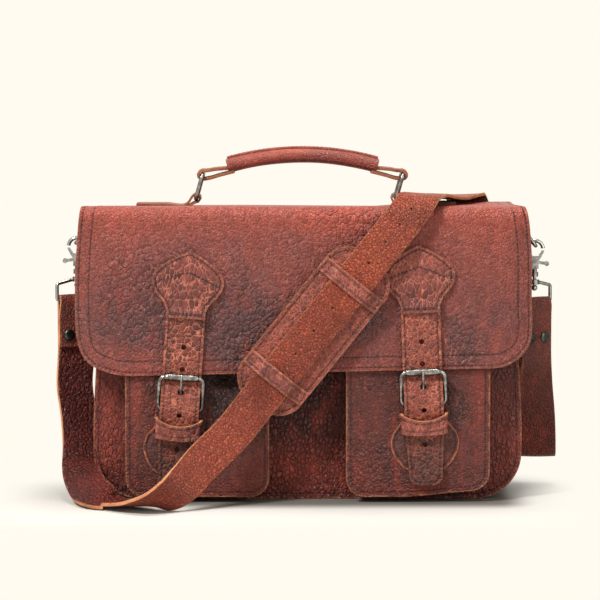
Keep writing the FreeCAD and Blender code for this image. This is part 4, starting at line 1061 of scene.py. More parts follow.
def flap_place(a, b):
    """Up the front, round the fold, back over the top and round the rear edge: straight runs
    joined by quarter circles. Then the hem slopes, the sides swing back and the top sags."""
    front = np.clip(b, 0, up_front)
    turn = np.clip(b - up_front, 0, round_fold) / FOLD_RADIUS
    back = np.clip(b - up_front - round_fold, 0, over_top)
    tuck = np.clip(b - up_front - round_fold - over_top, 0, None) / BACK_ROLL
    y = FLAP_FACE + FOLD_RADIUS * (1 - np.cos(turn)) + back + BACK_ROLL * np.sin(tuck)
    z = HEM + front + FOLD_RADIUS * np.sin(turn) - BACK_ROLL * (1 - np.cos(tuck))
    on_front = ease(up_front - b, 0, 25)
    z = z + 4.2 * (a + 3.5) / 200 * ease(110 - b, 0, 110)
    swing = 9.0 * ease(abs(a + 3.5), 172, 212) ** 1.3
    y = y + (swing + abs(ripple(a, b, 4, 0.7))) * on_front * ease(b, -20, 25)
    return np.stack([a, y, z - top_sag(a, back)], axis=1)


sheet(
    "flap_leather_sheet", flap_place, flap_span, 0, flap_length, 3.2, flap_leather,
    cells=(130, 110), replaces=["flap"], slot="flap_leather", bevel=0.6, rim=dark_edge,
    worn=lambda x, z: 0.75 * ease(z, 226, 262) + 0.6 * bell(x, z, (22, 252), (26, 16))
    + 0.35 * bell(x, z, (-170, 215), (26, 40)) + 0.45 * ease(126 - z, 0, 10)
    + 0.3 * bell(x, z, (175, 225), (22, 30)),
    dark=lambda x, z: 0.75 * bell(x, z, (-75, 160), (80, 42))
    + 0.7 * bell(x, z, (-178, 172), (26, 46)) + 0.5 * bell(x, z, (30, 152), (70, 30))
    + 0.5 * bell(x, z, (165, 165), (40, 36)),
)
flap_edge = outline(flap_span, 0, flap_length)
flap_rows = inset(flap_edge, FLAP_ROWS[0])
flap_rows += inset(flap_edge, FLAP_ROWS[1], lambda p: p[:, 1] < up_front + 6)
stitch("flap_stitches", flap_place, flap_rows)
for name in ("flap_leather_sheet", "flap_stitches"):
    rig.blend(bpy.data.objects[name], "bag", "flap", (0, 0.048, 0.26), (0, 0.024, 0.264))
print("flap", round(flap_length), "mm from hem to hinge")

# %% [markdown]
# ## The closures
# Each closing strap comes out from under a spade patch on the flap, goes under the buckle's
# roller, over its bar and through a keeper. A second spade patch, folded round the bar, holds the
# buckle on the pocket. The whole closure leans, so it is drawn upright about the bar and turned.

# %% Outlines and paths of a closure
PATCH = [
    (0, 17.5), (6, 17.6), (12, 20), (20, 27), (27, 31), (33, 32), (39, 30.5), (45, 25.5),
    (50, 19), (55, 11), (58, 5), (60, 0.4),
]
LOWER = [
    (0, 0.4), (3, 6), (9, 19), (17, 26), (25, 29.6), (32, 30.5), (41, 28), (49, 22), (56, 18),
    (63, 17.2), (84, 17.2),
]
STRAP_HALF = 17.5
STRAP_TIP, STRAP_ROOT = -73, 92
TIP_ROUND = 9
STRAP_ROW = 2.8
SPARE_HOLES = (57.4, 36.9, -4.1, -34.9)
PRONG_HOLE = (0.0, 17.5, 2.7)
PATCH_TOP = 60
PATCH_UP = 83.0
PATCH_FACE = -76.3
PATCH_LIFT = 3.3
BAND_HALF = 20.6
KEEPER_Z = -25.5
strap_face = shaped(
    [(-73, -72.4), (-30, -73.0), (-22, -73.3), (-13, -75.8), (-3, -79.2), (8, -79.4), (17, -77.6),
     (25, -74.0), (40, -73.9), (92, -73.9)]
)
fold_path, fold_length = spline(
    [(0, -69.2, -66), (0, -69.3, -40), (0, -69.6, -18), (0, -71.5, -9), (0, -75.3, -1),
     (0, -74.9, 3), (0, -71.2, 4.6), (0, -67.6, 2.5)], 400
)


def following(path, length):
    """Position on a densely sampled path at distance b."""
    run = np.linspace(0, length, len(path))
    return lambda b: np.stack([np.interp(b, run, column) for column in path.T], axis=1)


fold_at = following(fold_path, fold_length)
band_path, band_length = spline(
    [(-20.6, -69.4), (-20.6, -75.5), (-19.6, -78.6), (-16, -79.6), (0, -80.0), (16, -79.6),
     (19.6, -78.6), (20.6, -75.5), (20.6, -69.4)], 300
)
band_at = following(band_path, band_length)


def strap_span(b):
    """A closing strap's limits: they draw in towards the tip, which ends in a quarter circle."""
    drop = np.clip((STRAP_TIP + TIP_ROUND - b) / TIP_ROUND, 0, 1)
    half = STRAP_HALF - TIP_ROUND * (1 - np.sqrt(1 - drop**2)) - 0.06 * np.clip(-20 - b, 0, 40)
    return -half, half


def mirrored(half):
    """Limits of a shape that is the same on both sides of its middle."""
    return lambda b: (-half(b), half(b))


def leaning(x0, z0, tilt):
    """A function that turns points of the upright closure about the bar, then puts them in place:
    x0 and z0 are the bar's, and tilt is an angle in radians."""

    def leaned(x, y, z):
        across = x0 + x * math.cos(tilt) + z * math.sin(tilt)
        return np.stack([across, y, z0 - x * math.sin(tilt) + z * math.cos(tilt)], axis=1)

    return leaned


upper_span = mirrored(shaped(PATCH))
lower_span = mirrored(shaped(LOWER))
strap_row = inset(outline(strap_span, STRAP_TIP, STRAP_ROOT), STRAP_ROW, lambda p: p[:, 1] < 82)
upper_rows = inset(outline(upper_span, 0, PATCH_TOP), PATCH_ROW)
upper_rows += [[(-30, 31), (-15, 36.5), (0, 41), (14, 35.5), (27, 29)], [(-15, 4.5), (15, 4.5)]]
lower_rows = inset(outline(lower_span, 0, fold_length), PATCH_ROW, lambda p: p[:, 1] < 52)
print("a lower patch is", round(fold_length), "mm long with its fold")

# %% The two closures
# Each has a name, its bar's x and z, and its lean in degrees.
CLOSURES = (("left", -114.4, 84.0, 3.9), ("right", 103.8, 89.0, -2.2))
for name, x0, z0, lean in CLOSURES:
    tilt = math.radians(lean)
    leaned = leaning(x0, z0, tilt)

    def closing_place(a, b, leaned=leaned):
        """The strap: its face follows strap_face, dished by the square of the distance across."""
        crown = 0.35 * (a / STRAP_HALF) ** 2
        return leaned(a, strap_face(b) + crown, b)

    def patch_place(a, b, leaned=leaned):
        """The upper patch: it steps down onto the flap above the strap and crowns over it."""
        over = ease(b, 2, 15) * PATCH_LIFT
        crown = 0.9 * (1 - ease(abs(a), 8, 30)) * ease(b, 8, 20) * ease(PATCH_TOP - b, 0, 22)
        return leaned(a, PATCH_FACE + over - crown, b + PATCH_UP)

    def lower_place(a, b, leaned=leaned):
        """The lower patch: it runs up the pocket and folds round the bar."""
        at = fold_at(b)
        return leaned(a, at[:, 1], at[:, 2])

    def keeper_place(a, b, leaned=leaned):
        """The keeper: it runs across the strap, flares at its top and dips in its middle."""
        at = band_at(a)
        side = (at[:, 0] / BAND_HALF) ** 2
        flare = 0.9 * ease(b, 7, 13)
        z = b * (1 + 0.4 * side) + KEEPER_Z - 1.5 * (1 - side)
        return leaned(at[:, 0] * (1 + 0.04 * flare), at[:, 1] - flare, z)

    def vee_line(x, z, x0=x0, z0=z0, tilt=tilt):
        """1 along the stitched V of the upper patch, 0 beside it."""
        across = (x - x0) * math.cos(tilt) - (z - z0) * math.sin(tilt)
        up = (x - x0) * math.sin(tilt) + (z - z0) * math.cos(tilt) - PATCH_UP
        return 1 - ease(abs(up - 41 + 0.38 * abs(across)), 0.3, 1.6)

    sheet(
        name + "_closing_strap_leather", closing_place, strap_span, STRAP_TIP, STRAP_ROOT, 3.0,
        closing_leather, "flap", cells=(28, 132), even=True, bevel=0.35, rim=dark_edge,
        holes=[(0.0, hole, 2.4) for hole in SPARE_HOLES] + [PRONG_HOLE],
        replaces=[name + "_closing_strap"], slot="strap_leather",
        dark=lambda x, z: 0.85 * ease(z0 - 24 - z, 0, 12),
    )
    stitch(name + "_closing_strap_stitches", closing_place, strap_row, "flap")
    sheet(
        name + "_upper_patch_leather", patch_place, upper_span, 0, PATCH_TOP, 2.2,
        patch_leather, "flap", cells=(64, 60), replaces=[name + "_upper_patch"],
        slot="patch_leather", rim=dark_edge,
        dark=lambda x, z: (x0 < 0) * 0.3 * bell(x, z, (x0, z0 + 100), (24, 18))
        + 0.9 * vee_line(x, z),
    )
    stitch(name + "_upper_patch_stitches", patch_place, upper_rows, "flap", scale=1.2)
    sheet(
        name + "_lower_patch_leather", lower_place, lower_span, 0, fold_length, 2.0,
        lower_leather, "bag", cells=(40, 60), replaces=[name + "_lower_patch"],
        slot="patch_leather",
    )
    stitch(name + "_lower_patch_stitches", lower_place, lower_rows, "bag")
    sheet(
        name + "_keeper_leather", keeper_place, band(0.0, band_length), 0, 13.0, 2.6,
        patch_leather, "bag", cells=(60, 8), replaces=[name + "_keeper"],
        slot="patch_leather", even=True, bevel=0.7,
    )
print(len(CLOSURES), "closures, each of 4 leather pieces")

# %% [markdown]
# ## The buckles
# Each buckle is a bent wire with a sleeve on its far bar and a prong that comes up through the
# strap's hole and rests on the sleeve. A wire is a circle carried along a path: at every point
# the circle stands across the path's direction.

# %% A wire along a path
def wire(name, path, radius, body, replaced, closed=False, sides=14, fixed=(0.0, 1.0, 0.15)):
    """A round wire. Circle points are path + r (cos t side + sin t up), where side is square to
    the path and to a fixed direction, and up is square to both."""
    way = np.roll(path, -1, axis=0) - np.roll(path, 1, axis=0)
    if not closed:
        way[0], way[-1] = path[1] - path[0], path[-1] - path[-2]
    side = np.cross(way, fixed)
    side /= np.linalg.norm(side, axis=1)[:, None]
    up = np.cross(side, way)
    up /= np.linalg.norm(up, axis=1)[:, None]
    angle = np.linspace(0, 2 * np.pi, sides, endpoint=False)[None, :, None]
    size = np.broadcast_to(radius, len(path))[:, None, None]
    circle = np.cos(angle) * side[:, None] + np.sin(angle) * up[:, None]
    points = (path[:, None] + size * circle).reshape(-1, 3)
    index, faces = tube_quads(len(path), sides, closed=closed)
    caps = [] if closed else [index[0], index[-1, ::-1]]
    piece = into_mesh(name, points, faces[:, ::-1], [antique], (), caps)
    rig.ride(piece, body)
    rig.replaces(piece, replaced)
    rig.slot(piece, "dark_nickel")


# %% Frames, rollers and prongs
BAR_Y = -71.15
ROLLER_Y = -77.05
ROLLER_Z = 30.0
WIRE_HALF = 19.6
WIRE_RADIUS = 1.9
CORNER = 5.0
quarter = np.linspace(0, np.pi / 2, 7)
frame_path = []
for n, (across, along) in enumerate(((1, 1), (-1, 1), (-1, -1), (1, -1))):
    middle = (WIRE_HALF - CORNER) * across, ROLLER_Z / 2 + (ROLLER_Z / 2 - CORNER) * along
    turn = quarter + n * np.pi / 2
    x, z = middle[0] + CORNER * np.cos(turn), middle[1] + CORNER * np.sin(turn)
    frame_path.append(np.stack([x, BAR_Y + (ROLLER_Y - BAR_Y) * z / ROLLER_Z, z], axis=1))
frame_path = np.concatenate(frame_path)
prong_path = spline(
    [(0, -73.8, 0.5), (0, -74.6, 9), (0, -77.2, 15), (0, -80.6, 21), (0, -82.3, 27),
     (0, -82.3, 32.5)], 30
)[0]
prong_size = 1.45 * np.clip(np.linspace(3.2, 0.35, 30) ** 0.5, 0.4, 1.0)
roller_path = np.stack(
    [np.linspace(-15.6, 15.6, 12), np.full(12, ROLLER_Y), np.full(12, ROLLER_Z)], axis=1
)
roller_size = np.array([2.7, 3.1, *[3.15] * 8, 3.1, 2.7])
for name, x0, z0, lean in CLOSURES:
    leaned = leaning(x0, z0, math.radians(lean))
    wire(
        name + "_buckle_wire", leaned(*frame_path.T), WIRE_RADIUS, name + "_buckle",
        name + "_buckle_frame", closed=True,
    )
    wire(
        name + "_roller_sleeve", leaned(*roller_path.T), roller_size, name + "_roller",
        name + "_buckle_roller", sides=20,
    )
    wire(
        name + "_prong_wire", leaned(*prong_path.T), prong_size, name + "_prong",
        name + "_buckle_prong", fixed=(1.0, 0.0, 0.0),
    )
print("buckles: wire, sleeve and prong")

# %% [markdown]
# ## Folded straps
# A handle foot, a side tab and the ends of the handle are strips folded round a wire. Each follows
# a smooth path, with its grain side outward all the way round the fold.

# %% A strip along a path
def strip(name, points, across, half, thickness, material, body, ends=0.0, **more):
    """A band of leather along a path. across is the direction of its width, and ends is the
    radius of its corners."""
    path, length = spline(points, 500)
    at = following(path, length)
    across = np.asarray(across, float)

    def strip_place(a, b):
        """The path's point at b, moved by a along the width."""
        return at(b) + a[:, None] * across

    def span(b):
        """Half the width on each side, less a quarter circle near the ends."""
        near = np.minimum(b, length - b)
        cut = ends * (1 - np.sqrt(1 - np.clip((ends - near) / max(ends, 1e-6), 0, 1) ** 2))
        return cut - half, half - cut

    cells = (16, max(12, int(length / 2)))
    sheet(name, strip_place, span, 0, length, thickness, material, body, cells, **more)
    return strip_place, span, length


def fold_round(middle, radius, start, stop, count):
    """Points on a circle in the x-z plane, between two angles in degrees from +x towards +z."""
    angle = np.radians(np.linspace(start, stop, count))
    x = middle[0] + radius * np.cos(angle)
    z = middle[2] + radius * np.sin(angle)
    return [(px, middle[1], pz) for px, pz in zip(x, z)]


# %% The handle's feet
FOOT_LENGTH = 54.0
FOOT_EYE_Z = 270.75
HANDLE_Y = -12.0
back_from_fold = HANDLE_Y - FLAP_FACE - FOLD_RADIUS
for name, x0, hand, thick in (("left", -100.9, -1, 2.1), ("right", 80.1, 1, 1.5)):
    out = x0 + hand * FOOT_LENGTH
    half_way = (out + x0) / 2
    low = FLAP_TOP + 0.2 - float(top_sag(out, back_from_fold))
    high = low + 2 * thick
    path = [(out, HANDLE_Y, low), (half_way, HANDLE_Y, low), (x0 + hand * 8, HANDLE_Y, low)]
    path += fold_round((x0, HANDLE_Y, FOOT_EYE_Z), 4.6, 270, 40 if hand > 0 else 500, 9)
    path += [(x0 + hand * 9, HANDLE_Y, high), (half_way, HANDLE_Y, high), (out, HANDLE_Y, high)]
    strip(
        name + "_handle_foot_leather", path, (0, -hand, 0), 11.0, thick, handle_leather, "flap",
        replaces=[name + "_handle_foot"], slot="patch_leather", rim=brown_edge,
    )
print("handle feet", round(FOOT_LENGTH), "mm long")

# %% [markdown]
# ## The handle
# A strap is folded round each ring and both layers run into the grip. The grip is a roll of
# leather bent along an arc: its outline is a squared-off oval, swept along the arc, with the sewn
# ridge on top.

# %% A roll along an arc
ARC_X = -4.52
ARC_RADIUS = 245.0
ARC_Z = 307.5 - ARC_RADIUS
GRIP_HALF = 68.5
RIDGE_SHIFT = 2.0
ROLL_STEPS = 90
RING_Z = 291.95


def on_arc(along, rise):
    """A point of the handle's arc, with rise above its middle line; along is measured on it."""
    angle = along / ARC_RADIUS
    x = ARC_X + (ARC_RADIUS + rise) * np.sin(angle)
    return x, ARC_Z + (ARC_RADIUS + rise) * np.cos(angle)


def roll(name, half_length, rise, half_width, half_height, power, shift=0.0, sides=36):
    """A tube along the arc. Its outline is |y|^power + |z|^power = 1, scaled to its half sizes,
    and a product of sines makes it a little lumpy."""
    low, high = -half_length, half_length
    along = np.linspace(low, high, ROLL_STEPS)
    angle = np.linspace(0, 2 * np.pi, sides, endpoint=False)
    across = half_width * np.sign(np.cos(angle)) * abs(np.cos(angle)) ** (2 / power)
    up = half_height * np.sign(np.sin(angle)) * abs(np.sin(angle)) ** (2 / power)
    lump = 1 + 0.018 * np.sin(along / 9)[:, None] * np.sin(2 * angle + 1)[None, :]
    x, z = on_arc(along[:, None], rise + up[None, :] * lump)
    y = HANDLE_Y + shift + across[None, :] * lump
    points = np.stack([x, np.broadcast_to(y, x.shape), z], axis=-1).reshape(-1, 3)
    index, faces = tube_quads(ROLL_STEPS, sides)
    to_end = np.minimum(along - low, high - along)[:, None] + np.zeros(sides)
    worn = 0.55 * ease(np.cos(along / 26), 0.2, 1)[:, None] * ease(np.sin(angle), 0, 0.9)[None, :]
    values = {"edge_mm": to_end, "worn": worn, "dark": 0.4 * ease(-up, 2, 6) + 0 * to_end}
    caps = [index[0, ::-1], index[-1]]
    piece = into_mesh(name, points, faces, [handle_leather], values, caps)
    rounded_rim(piece, 0.6, 60)
    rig.ride(piece, "handle")
    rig.slot(piece, "flap_leather")
    return piece


# %% The grip and the handle's strap
grip = roll("grip_leather", GRIP_HALF, 1.6, 12.4, 6.4, 2.5)
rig.replaces(grip, "handle_core", "handle_grip")
roll("grip_ridge", GRIP_HALF - 1.5, 8.6, 4.2, 1.5, 5.0, shift=RIDGE_SHIFT, sides=24)


def ridge_place(a, b):
    """The top of the ridge: a along the arc, b across it."""
    x, z = on_arc(a, 10.1)
    return np.stack([x, HANDLE_Y + RIDGE_SHIFT + b, z], axis=1)


row = [(-GRIP_HALF + 4, 0.0), (GRIP_HALF - 4, 0.0)]
stitch("grip_stitches", ridge_place, [row], "handle")
for name, x0, hand, start, stop in (("left", -95.02, -1, 250, 75), ("right", 85.98, 1, 290, 465)):
    turn = fold_round((x0, HANDLE_Y, RING_Z), 5.2, start, stop, 9)
    path = [(x0 - hand * 29, HANDLE_Y, 293.6), (x0 - hand * 15, HANDLE_Y, 290.0)]
    path += [(x0 - hand * 6, HANDLE_Y, 287.4)] + turn
    path += [(x0 - hand * 12, HANDLE_Y, 298.4), (x0 - hand * 29, HANDLE_Y, 299.6)]
    strip(
        name + "_handle_strap_end", path, (0, hand, 0), 10.5, 2.8, handle_leather, "handle",
        slot="strap_leather", rim=brown_edge,
    )
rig.replaces(bpy.data.objects["left_handle_strap_end"], "handle_strap")
print("handle:", len(grip.data.polygons), "faces in the grip")

# %% [markdown]
# ## The side tabs and the rivets
# A tab is a strip folded up round the D-ring's bar and riveted through the side. A rivet's head is
# a low dome: its radius follows a quarter circle as it rises.

# %% The tabs
TAB_BAR_X, TAB_BAR_Z = 190.5, 249.0
TAB_LOW = 205.0
TAB_WALL = 186.2
TAB_ROW = 2.6
for name, hand, start, stop in (("left", -1, 0, 180), ("right", 1, 180, 0)):
    wall = hand * TAB_WALL
    path = [(wall, 0, TAB_LOW), (wall, 0, 225), (wall, 0, 243)]
    path += fold_round((hand * TAB_BAR_X, 0.0, TAB_BAR_Z), 4.3, start, stop, 7)
    path += [(hand * 193.0, 0, 238), (hand * 190.2, 0, 227), (hand * 189.2, 0, TAB_LOW)]
    place_tab, tab_span, tab_length = strip(
        name + "_side_tab_leather", path, (0, -hand, 0), 11.0, 1.4, patch_leather, "bag",
        replaces=[name + "_side_tab"], slot="patch_leather", ends=8.0,
    )
    rows = inset(outline(tab_span, 0, tab_length), TAB_ROW, lambda p: p[:, 1] > tab_length - 36)
    stitch(name + "_side_tab_stitches", place_tab, rows, "bag")
print("each side tab is", round(tab_length), "mm long with its fold")


# %% Rivet heads
def domes(name, places, radius, height, replaced):
    """Rivet heads at (middle, direction) places: a template of rings, turned to each direction.
    size is each ring's share of the radius, and rise its share of the height."""
    size = np.array([1.0, 1.0, 0.96, 0.84, 0.62, 0.32, 0.06])
    rise = np.array([-0.4, 0.25, 0.5, 0.74, 0.9, 0.98, 1.0])
    rings, sides = len(size), 24
    angle = np.linspace(0, 2 * np.pi, sides, endpoint=False)
    points, faces, caps = [], [], []
    for n, (middle, way) in enumerate(places):
        way = np.asarray(way, float) / np.linalg.norm(way)
        side = np.cross(way, (0.3, 0.5, 0.8))
        side /= np.linalg.norm(side)
        other = np.cross(way, side)
        round_about = np.cos(angle)[None, :, None] * side + np.sin(angle)[None, :, None] * other
        made = np.asarray(middle) + radius * size[:, None, None] * round_about
        made = made + height * rise[:, None, None] * way
        points.append(made.reshape(-1, 3))
        index, head = tube_quads(rings, sides, n * rings * sides)
        faces.append(head)
        caps += [index[-1], index[0, ::-1]]
    piece = into_mesh(name, np.concatenate(points), np.concatenate(faces), [patina], (), caps)
    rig.ride(piece, "bag")
    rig.replaces(piece, replaced)
    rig.slot(piece, "dark_nickel")


RIVET_X, RIVET_Z = 189.1, 218.2
heads = [((hand * RIVET_X, 0, RIVET_Z), (hand, 0, 0)) for hand in (-1, 1)]
domes("side_tab_rivet_heads", heads, 4.0, 1.7, "side_tab_rivets")
print(len(heads), "rivet heads on the tabs")

# %% [markdown]
# ## The shoulder pad
# The pad lies across the front under the strap, which runs through two bridges on it. It is a
# thick sewn slab: its face swells away from the edge and its rim is rounded.

# %% The pad
WAY = np.array([0.625, 0.7806])
RUN_X, RUN_Z = 38.9, 198


def in_front(across, along, y):
    """A point given by its distances across and along the strap's front run: WAY is the run's
    direction in x and z, and RUN_X and RUN_Z are its middle."""
    x = RUN_X + WAY[0] * along + WAY[1] * across
    return np.stack([x, y, RUN_Z + WAY[1] * along - WAY[0] * across], axis=1)


PAD_MIDDLE = -54.0
PAD_HALF = 33.0
PAD_REACH = 83.0
PAD_CORNER = 24.0
PAD_FACE = -79.9


def pad_span(b):
    """The pad's limits: straight sides with a quarter circle at each corner."""
    drop = np.clip((abs(b) - PAD_REACH + PAD_CORNER) / PAD_CORNER, 0, 1)
    cut = PAD_CORNER * (1 - np.sqrt(np.maximum(1 - drop**2, 0)))
    return cut - PAD_HALF, PAD_HALF - cut


def pad_place(a, b):
    """The pad's face: it swells away from the edge, with a bell-shaped dip along the stitches."""
    rim = np.minimum(pad_span(b)[1] - abs(a), PAD_REACH - abs(b))
    swell = 1.3 * ease(rim, 5.0, 16.0) - 0.5 * np.exp(-(((rim - PAD_ROW) / 1.6) ** 2))
    return in_front(a, b + PAD_MIDDLE, PAD_FACE - swell)


sheet(
    "shoulder_pad_leather", pad_place, pad_span, -PAD_REACH, PAD_REACH, 5.4, pad_leather,
    "shoulder_pad", cells=(48, 90), bevel=1.4, behind=pad_leather, rim=dark_edge,
    replaces=["shoulder_pad"], slot="patch_leather",
    worn=lambda x, z: 0.3 * bell(x, z, (-20, 120), (30, 30)),
)
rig.padded(bpy.data.objects["shoulder_pad_leather"], 0.35)
pad_rows = inset(outline(pad_span, -PAD_REACH, PAD_REACH), PAD_ROW)
stitch("shoulder_pad_stitches", pad_place, pad_rows, "shoulder_pad")
print("pad:", round(2 * PAD_HALF), "by", round(2 * PAD_REACH), "mm")

# %% Its two bridges
arch_path, arch_length = spline(
    [(-32.5, -81.9), (-27, -82.6), (-22.5, -83.4), (-19.6, -86.0), (-17, -87.9), (-12, -88.3),
     (0, -88.5), (12, -88.3), (17, -87.9), (19.6, -86.0), (22.5, -83.4), (27, -82.6),
     (32.5, -81.9)], 300
)
arch_at = following(arch_path, arch_length)
for name, along in (("lower", PAD_MIDDLE - 53), ("upper", PAD_MIDDLE + 53)):

    def bridge_place(a, b, along=along):
        """A bridge: a follows the arch over the strap, b runs along the strap."""
        at = arch_at(a)
        return in_front(at[:, 0], b + along, at[:, 1])

    sheet(
        name + "_pad_bridge_leather", bridge_place, band(0.0, arch_length), -7, 7, 1.7,
        patch_leather, "shoulder_pad", cells=(80, 12), replaces=[name + "_pad_bridge"],
        slot="patch_leather", even=True,
    )
    rows = [[(2.5, -4.4), (2.5, 4.4)], [(8.0, 4.6), (8.0, -4.6)]]
    rows += [[(arch_length - a, b) for a, b in row] for row in rows]
    stitch(name + "_bridge_stitches", bridge_place, rows, "shoulder_pad")
print("each bridge is", round(arch_length), "mm long over its arch")

# %% [markdown]
# ## The shoulder strap
# The strap is one flat ribbon. Each row of a run is a point of its middle and the direction its
# grain side faces. Between rows both change along a smooth curve, and the width lies at right
# angles to the run and to the facing. It is split under the pad's lower bridge, because its ends
# stay with the bag and its front run goes up with the flap.

# %% The rows of the runs
# Each eye is the middle of a loop's bar, the strap's turn about the upright in degrees, and the
# side that its grain faces.
LEFT_EYE = ((-210.64, 0, 225.75), 24, 1)
RIGHT_EYE = ((207.74, 0, 223.13), 38, -1)
LOWER_BRIDGE = (-28.0, -83.3, 114.5, 0, -1, 0)


def ring_fold(eye, turn, side):
    """Rows of a folded end, from its short layer over the loop's bar and down its long layer."""
    angle = math.radians(turn)
    out_x, out_y = -math.sin(angle) * side, math.cos(angle) * side
    local = [
        (0.15, -92, -1, 0), (0.15, -70, -1, 0), (-0.6, -62, -1, 0.1), (-2.6, -54, -1, 0.1),
        (-3.6, -49.5, -1, 0.1), (-2.6, -46.3, -0.7, 0.7), (0, -45.3, 0, 1), (2.6, -46.3, 0.7, 0.7),
        (3.6, -49.5, 1, 0.1), (3.6, -62, 1, 0), (3.55, -78, 1, 0), (3.55, -95, 1, 0),
    ]
    return [
        (eye[0] + out_x * y, eye[1] + out_y * y, eye[2] + z, out_x * facing, out_y * facing, up)
        for y, z, facing, up in local
    ]


left_rows = ring_fold(*LEFT_EYE) + [
    (-213.8, 0.5, 98.5, -0.47, 0.88, -0.11), (-210.2, -4.5, 71, -0.45, 0.82, -0.35),
    (-206.5, -18, 44, -0.29, 0.68, -0.68), (-203.5, -51, 22.5, 0.3, 0.53, -0.8),
    (-194.5, -76, 12.4, 0.37, 0.41, -0.83), (-183, -92.5, 7.8, 0.02, 0.37, -0.93),
    (-172.8, -95.5, 4.4, -0.14, 0.12, -0.98), (-163.8, -103, 4.4, -0.01, -0.09, -1),
    (-151.8, -113, 5.8, 0.01, -0.21, -0.98), (-139.2, -122, 8.8, 0.08, -0.45, -0.89),
    (-124, -124, 14.4, 0.41, -0.8, -0.45), (-108, -116, 25.8, 0.49, -0.87, 0.07),
    (-94.5, -105.5, 40, 0.37, -0.92, 0.14), (-63, -91.5, 70.7, 0.22, -0.96, 0.16),
    (-48.6, -84.5, 88.7, 0, -1, 0), LOWER_BRIDGE,
]
over_rows = [
    LOWER_BRIDGE, (0, -83.3, 149.4, 0, -1, 0), (40, -83.3, 199.4, 0, -1, 0),
    (58.3, -83.3, 222.2, 0, -1, 0), (67.6, -83.2, 233.9, 0, -1, 0), (77.6, -81.5, 246.4, 0, -1, 0),
    (89, -78, 260.5, 0, -1, 0.1), (96.5, -73.3, 271, 0, -0.8, 0.6),
    (101, -65.7, 275, 0, -0.35, 0.94), (108, -51.7, 275.5, 0, 0, 1),
    (118, -28, 272.1, 0, 0.1, 1), (130, 0, 270.6, 0, 0, 1),
    (141, 29.4, 270.3, 0, 0.15, 0.99), (146, 40.4, 268.8, 0, 0.4, 0.9),
    (149, 46.8, 265.5, 0, 0.85, 0.5), (151.5, 49, 259.4, 0, 1, 0), (160, 49.6, 228, 0, 1, 0),
    (182, 50, 150, 0, 1, 0), (199, 51.5, 86, 0, 1, 0), (209.5, 53, 52, 0.05, 0.99, -0.1),
    (212.5, 49, 35, 0, 0.6, -0.8), (213.5, 40, 27.5, 0, 0, -1), (213.5, 30, 29.5, 0, -0.55, -0.83),
    (213, 23, 40, 0.02, -0.97, -0.2), (212, 17, 64, 0.15, -0.98, -0.05),
    (209.5, 6, 102, 0.4, -0.91, 0),
] + ring_fold(*RIGHT_EYE)[::-1]
print(len(left_rows), "rows in the lower run,", len(over_rows), "in the upper run")


# %% The two runs
def ribbon(rows, seed):
    """Place function of a ribbon. The facing is squared to the run, and the strap's middle bows
    out a little; a slow twist keeps it from lying dead flat."""
    path, length = spline(rows, 1600)
    middle, facing = path[:, :3], path[:, 3:]
    way = np.gradient(middle, axis=0)
    way /= np.linalg.norm(way, axis=1)[:, None]
    facing = facing - (facing * way).sum(axis=1)[:, None] * way
    facing /= np.linalg.norm(facing, axis=1)[:, None]
    frames = np.concatenate([middle, facing, np.cross(way, facing)], axis=1)
    at = following(frames, length)

    def ribbon_place(a, b):
        """The middle at b, moved by a along the width and by the bow along the facing."""
        here = at(b)
        bow = 1.5 - 0.5 * (a / STRAP_HALF) ** 2 + 0.25 * np.sin(b / 37 + seed)
        return here[:, :3] + a[:, None] * here[:, 6:9] + bow[:, None] * here[:, 3:6]

    return ribbon_place, length, middle


def nearest(middle, length, x, z):
    """The distance along a ribbon at which its middle passes closest to a point of the front."""
    gap = np.hypot(middle[:, 0] - x, middle[:, 2] - z) + 50 * (middle[:, 1] > -60)
    return length * int(np.argmin(gap)) / (len(middle) - 1)


# Where the holes are punched along the front run, in millimetres from its middle.
PUNCHED = [84.9, 67.8, 48.0, 24.2, -27.1, -53.4, -79.7]
# Each run has a name, its rows, its holes, what it blends between, what it replaces and a seed.
RUNS = (
    (
        "shoulder_strap_lower", left_rows, [],
        ("bag", "flap", (-0.21, 0.003, 0.15), (-0.07, -0.083, 0.073)),
        ["shoulder_strap_left"], 0.0,
    ),
    (
        "shoulder_strap_upper", over_rows, PUNCHED,
        ("flap", "bag", (0.146, 0.024, 0.268), (0.15, 0.048, 0.256)),
        ["shoulder_strap_front", "shoulder_strap_rear", "shoulder_strap_right"], 2.0,
    ),
)
for name, rows, punched, ends, replaced, seed in RUNS:
    ribbon_place, length, middle = ribbon(rows, seed)
    spots = [(RUN_X + WAY[0] * along, RUN_Z + WAY[1] * along) for along in punched]
    holes = [(0.0, nearest(middle, length, x, z), 1.25) for x, z in spots]
    sheet(
        name, ribbon_place, band(-STRAP_HALF, STRAP_HALF), 0, length, 3.0, strap_leather,
        cells=(28, int(length / 1.25)), even=True, behind=strap_back_leather, holes=holes,
        bevel=0.5, replaces=replaced, slot="strap_leather",
        cut=lambda path: (path[:, 1] > 0.5) & (path[:, 1] < length - 0.5),
        worn=lambda x, z: 0.35 * bell(x, z, (60, 225), (40, 50)) + 0.4 * ease(z, 262, 274),
        # The dark towards both ends, where the runs hang down the bag's sides, is painted shade.
        dark=lambda x, z: 0.7 * ease(abs(x), 184, 200),
    )
    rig.blend(bpy.data.objects[name], *ends)
    print(name, round(length), "mm,", len(holes), "holes")

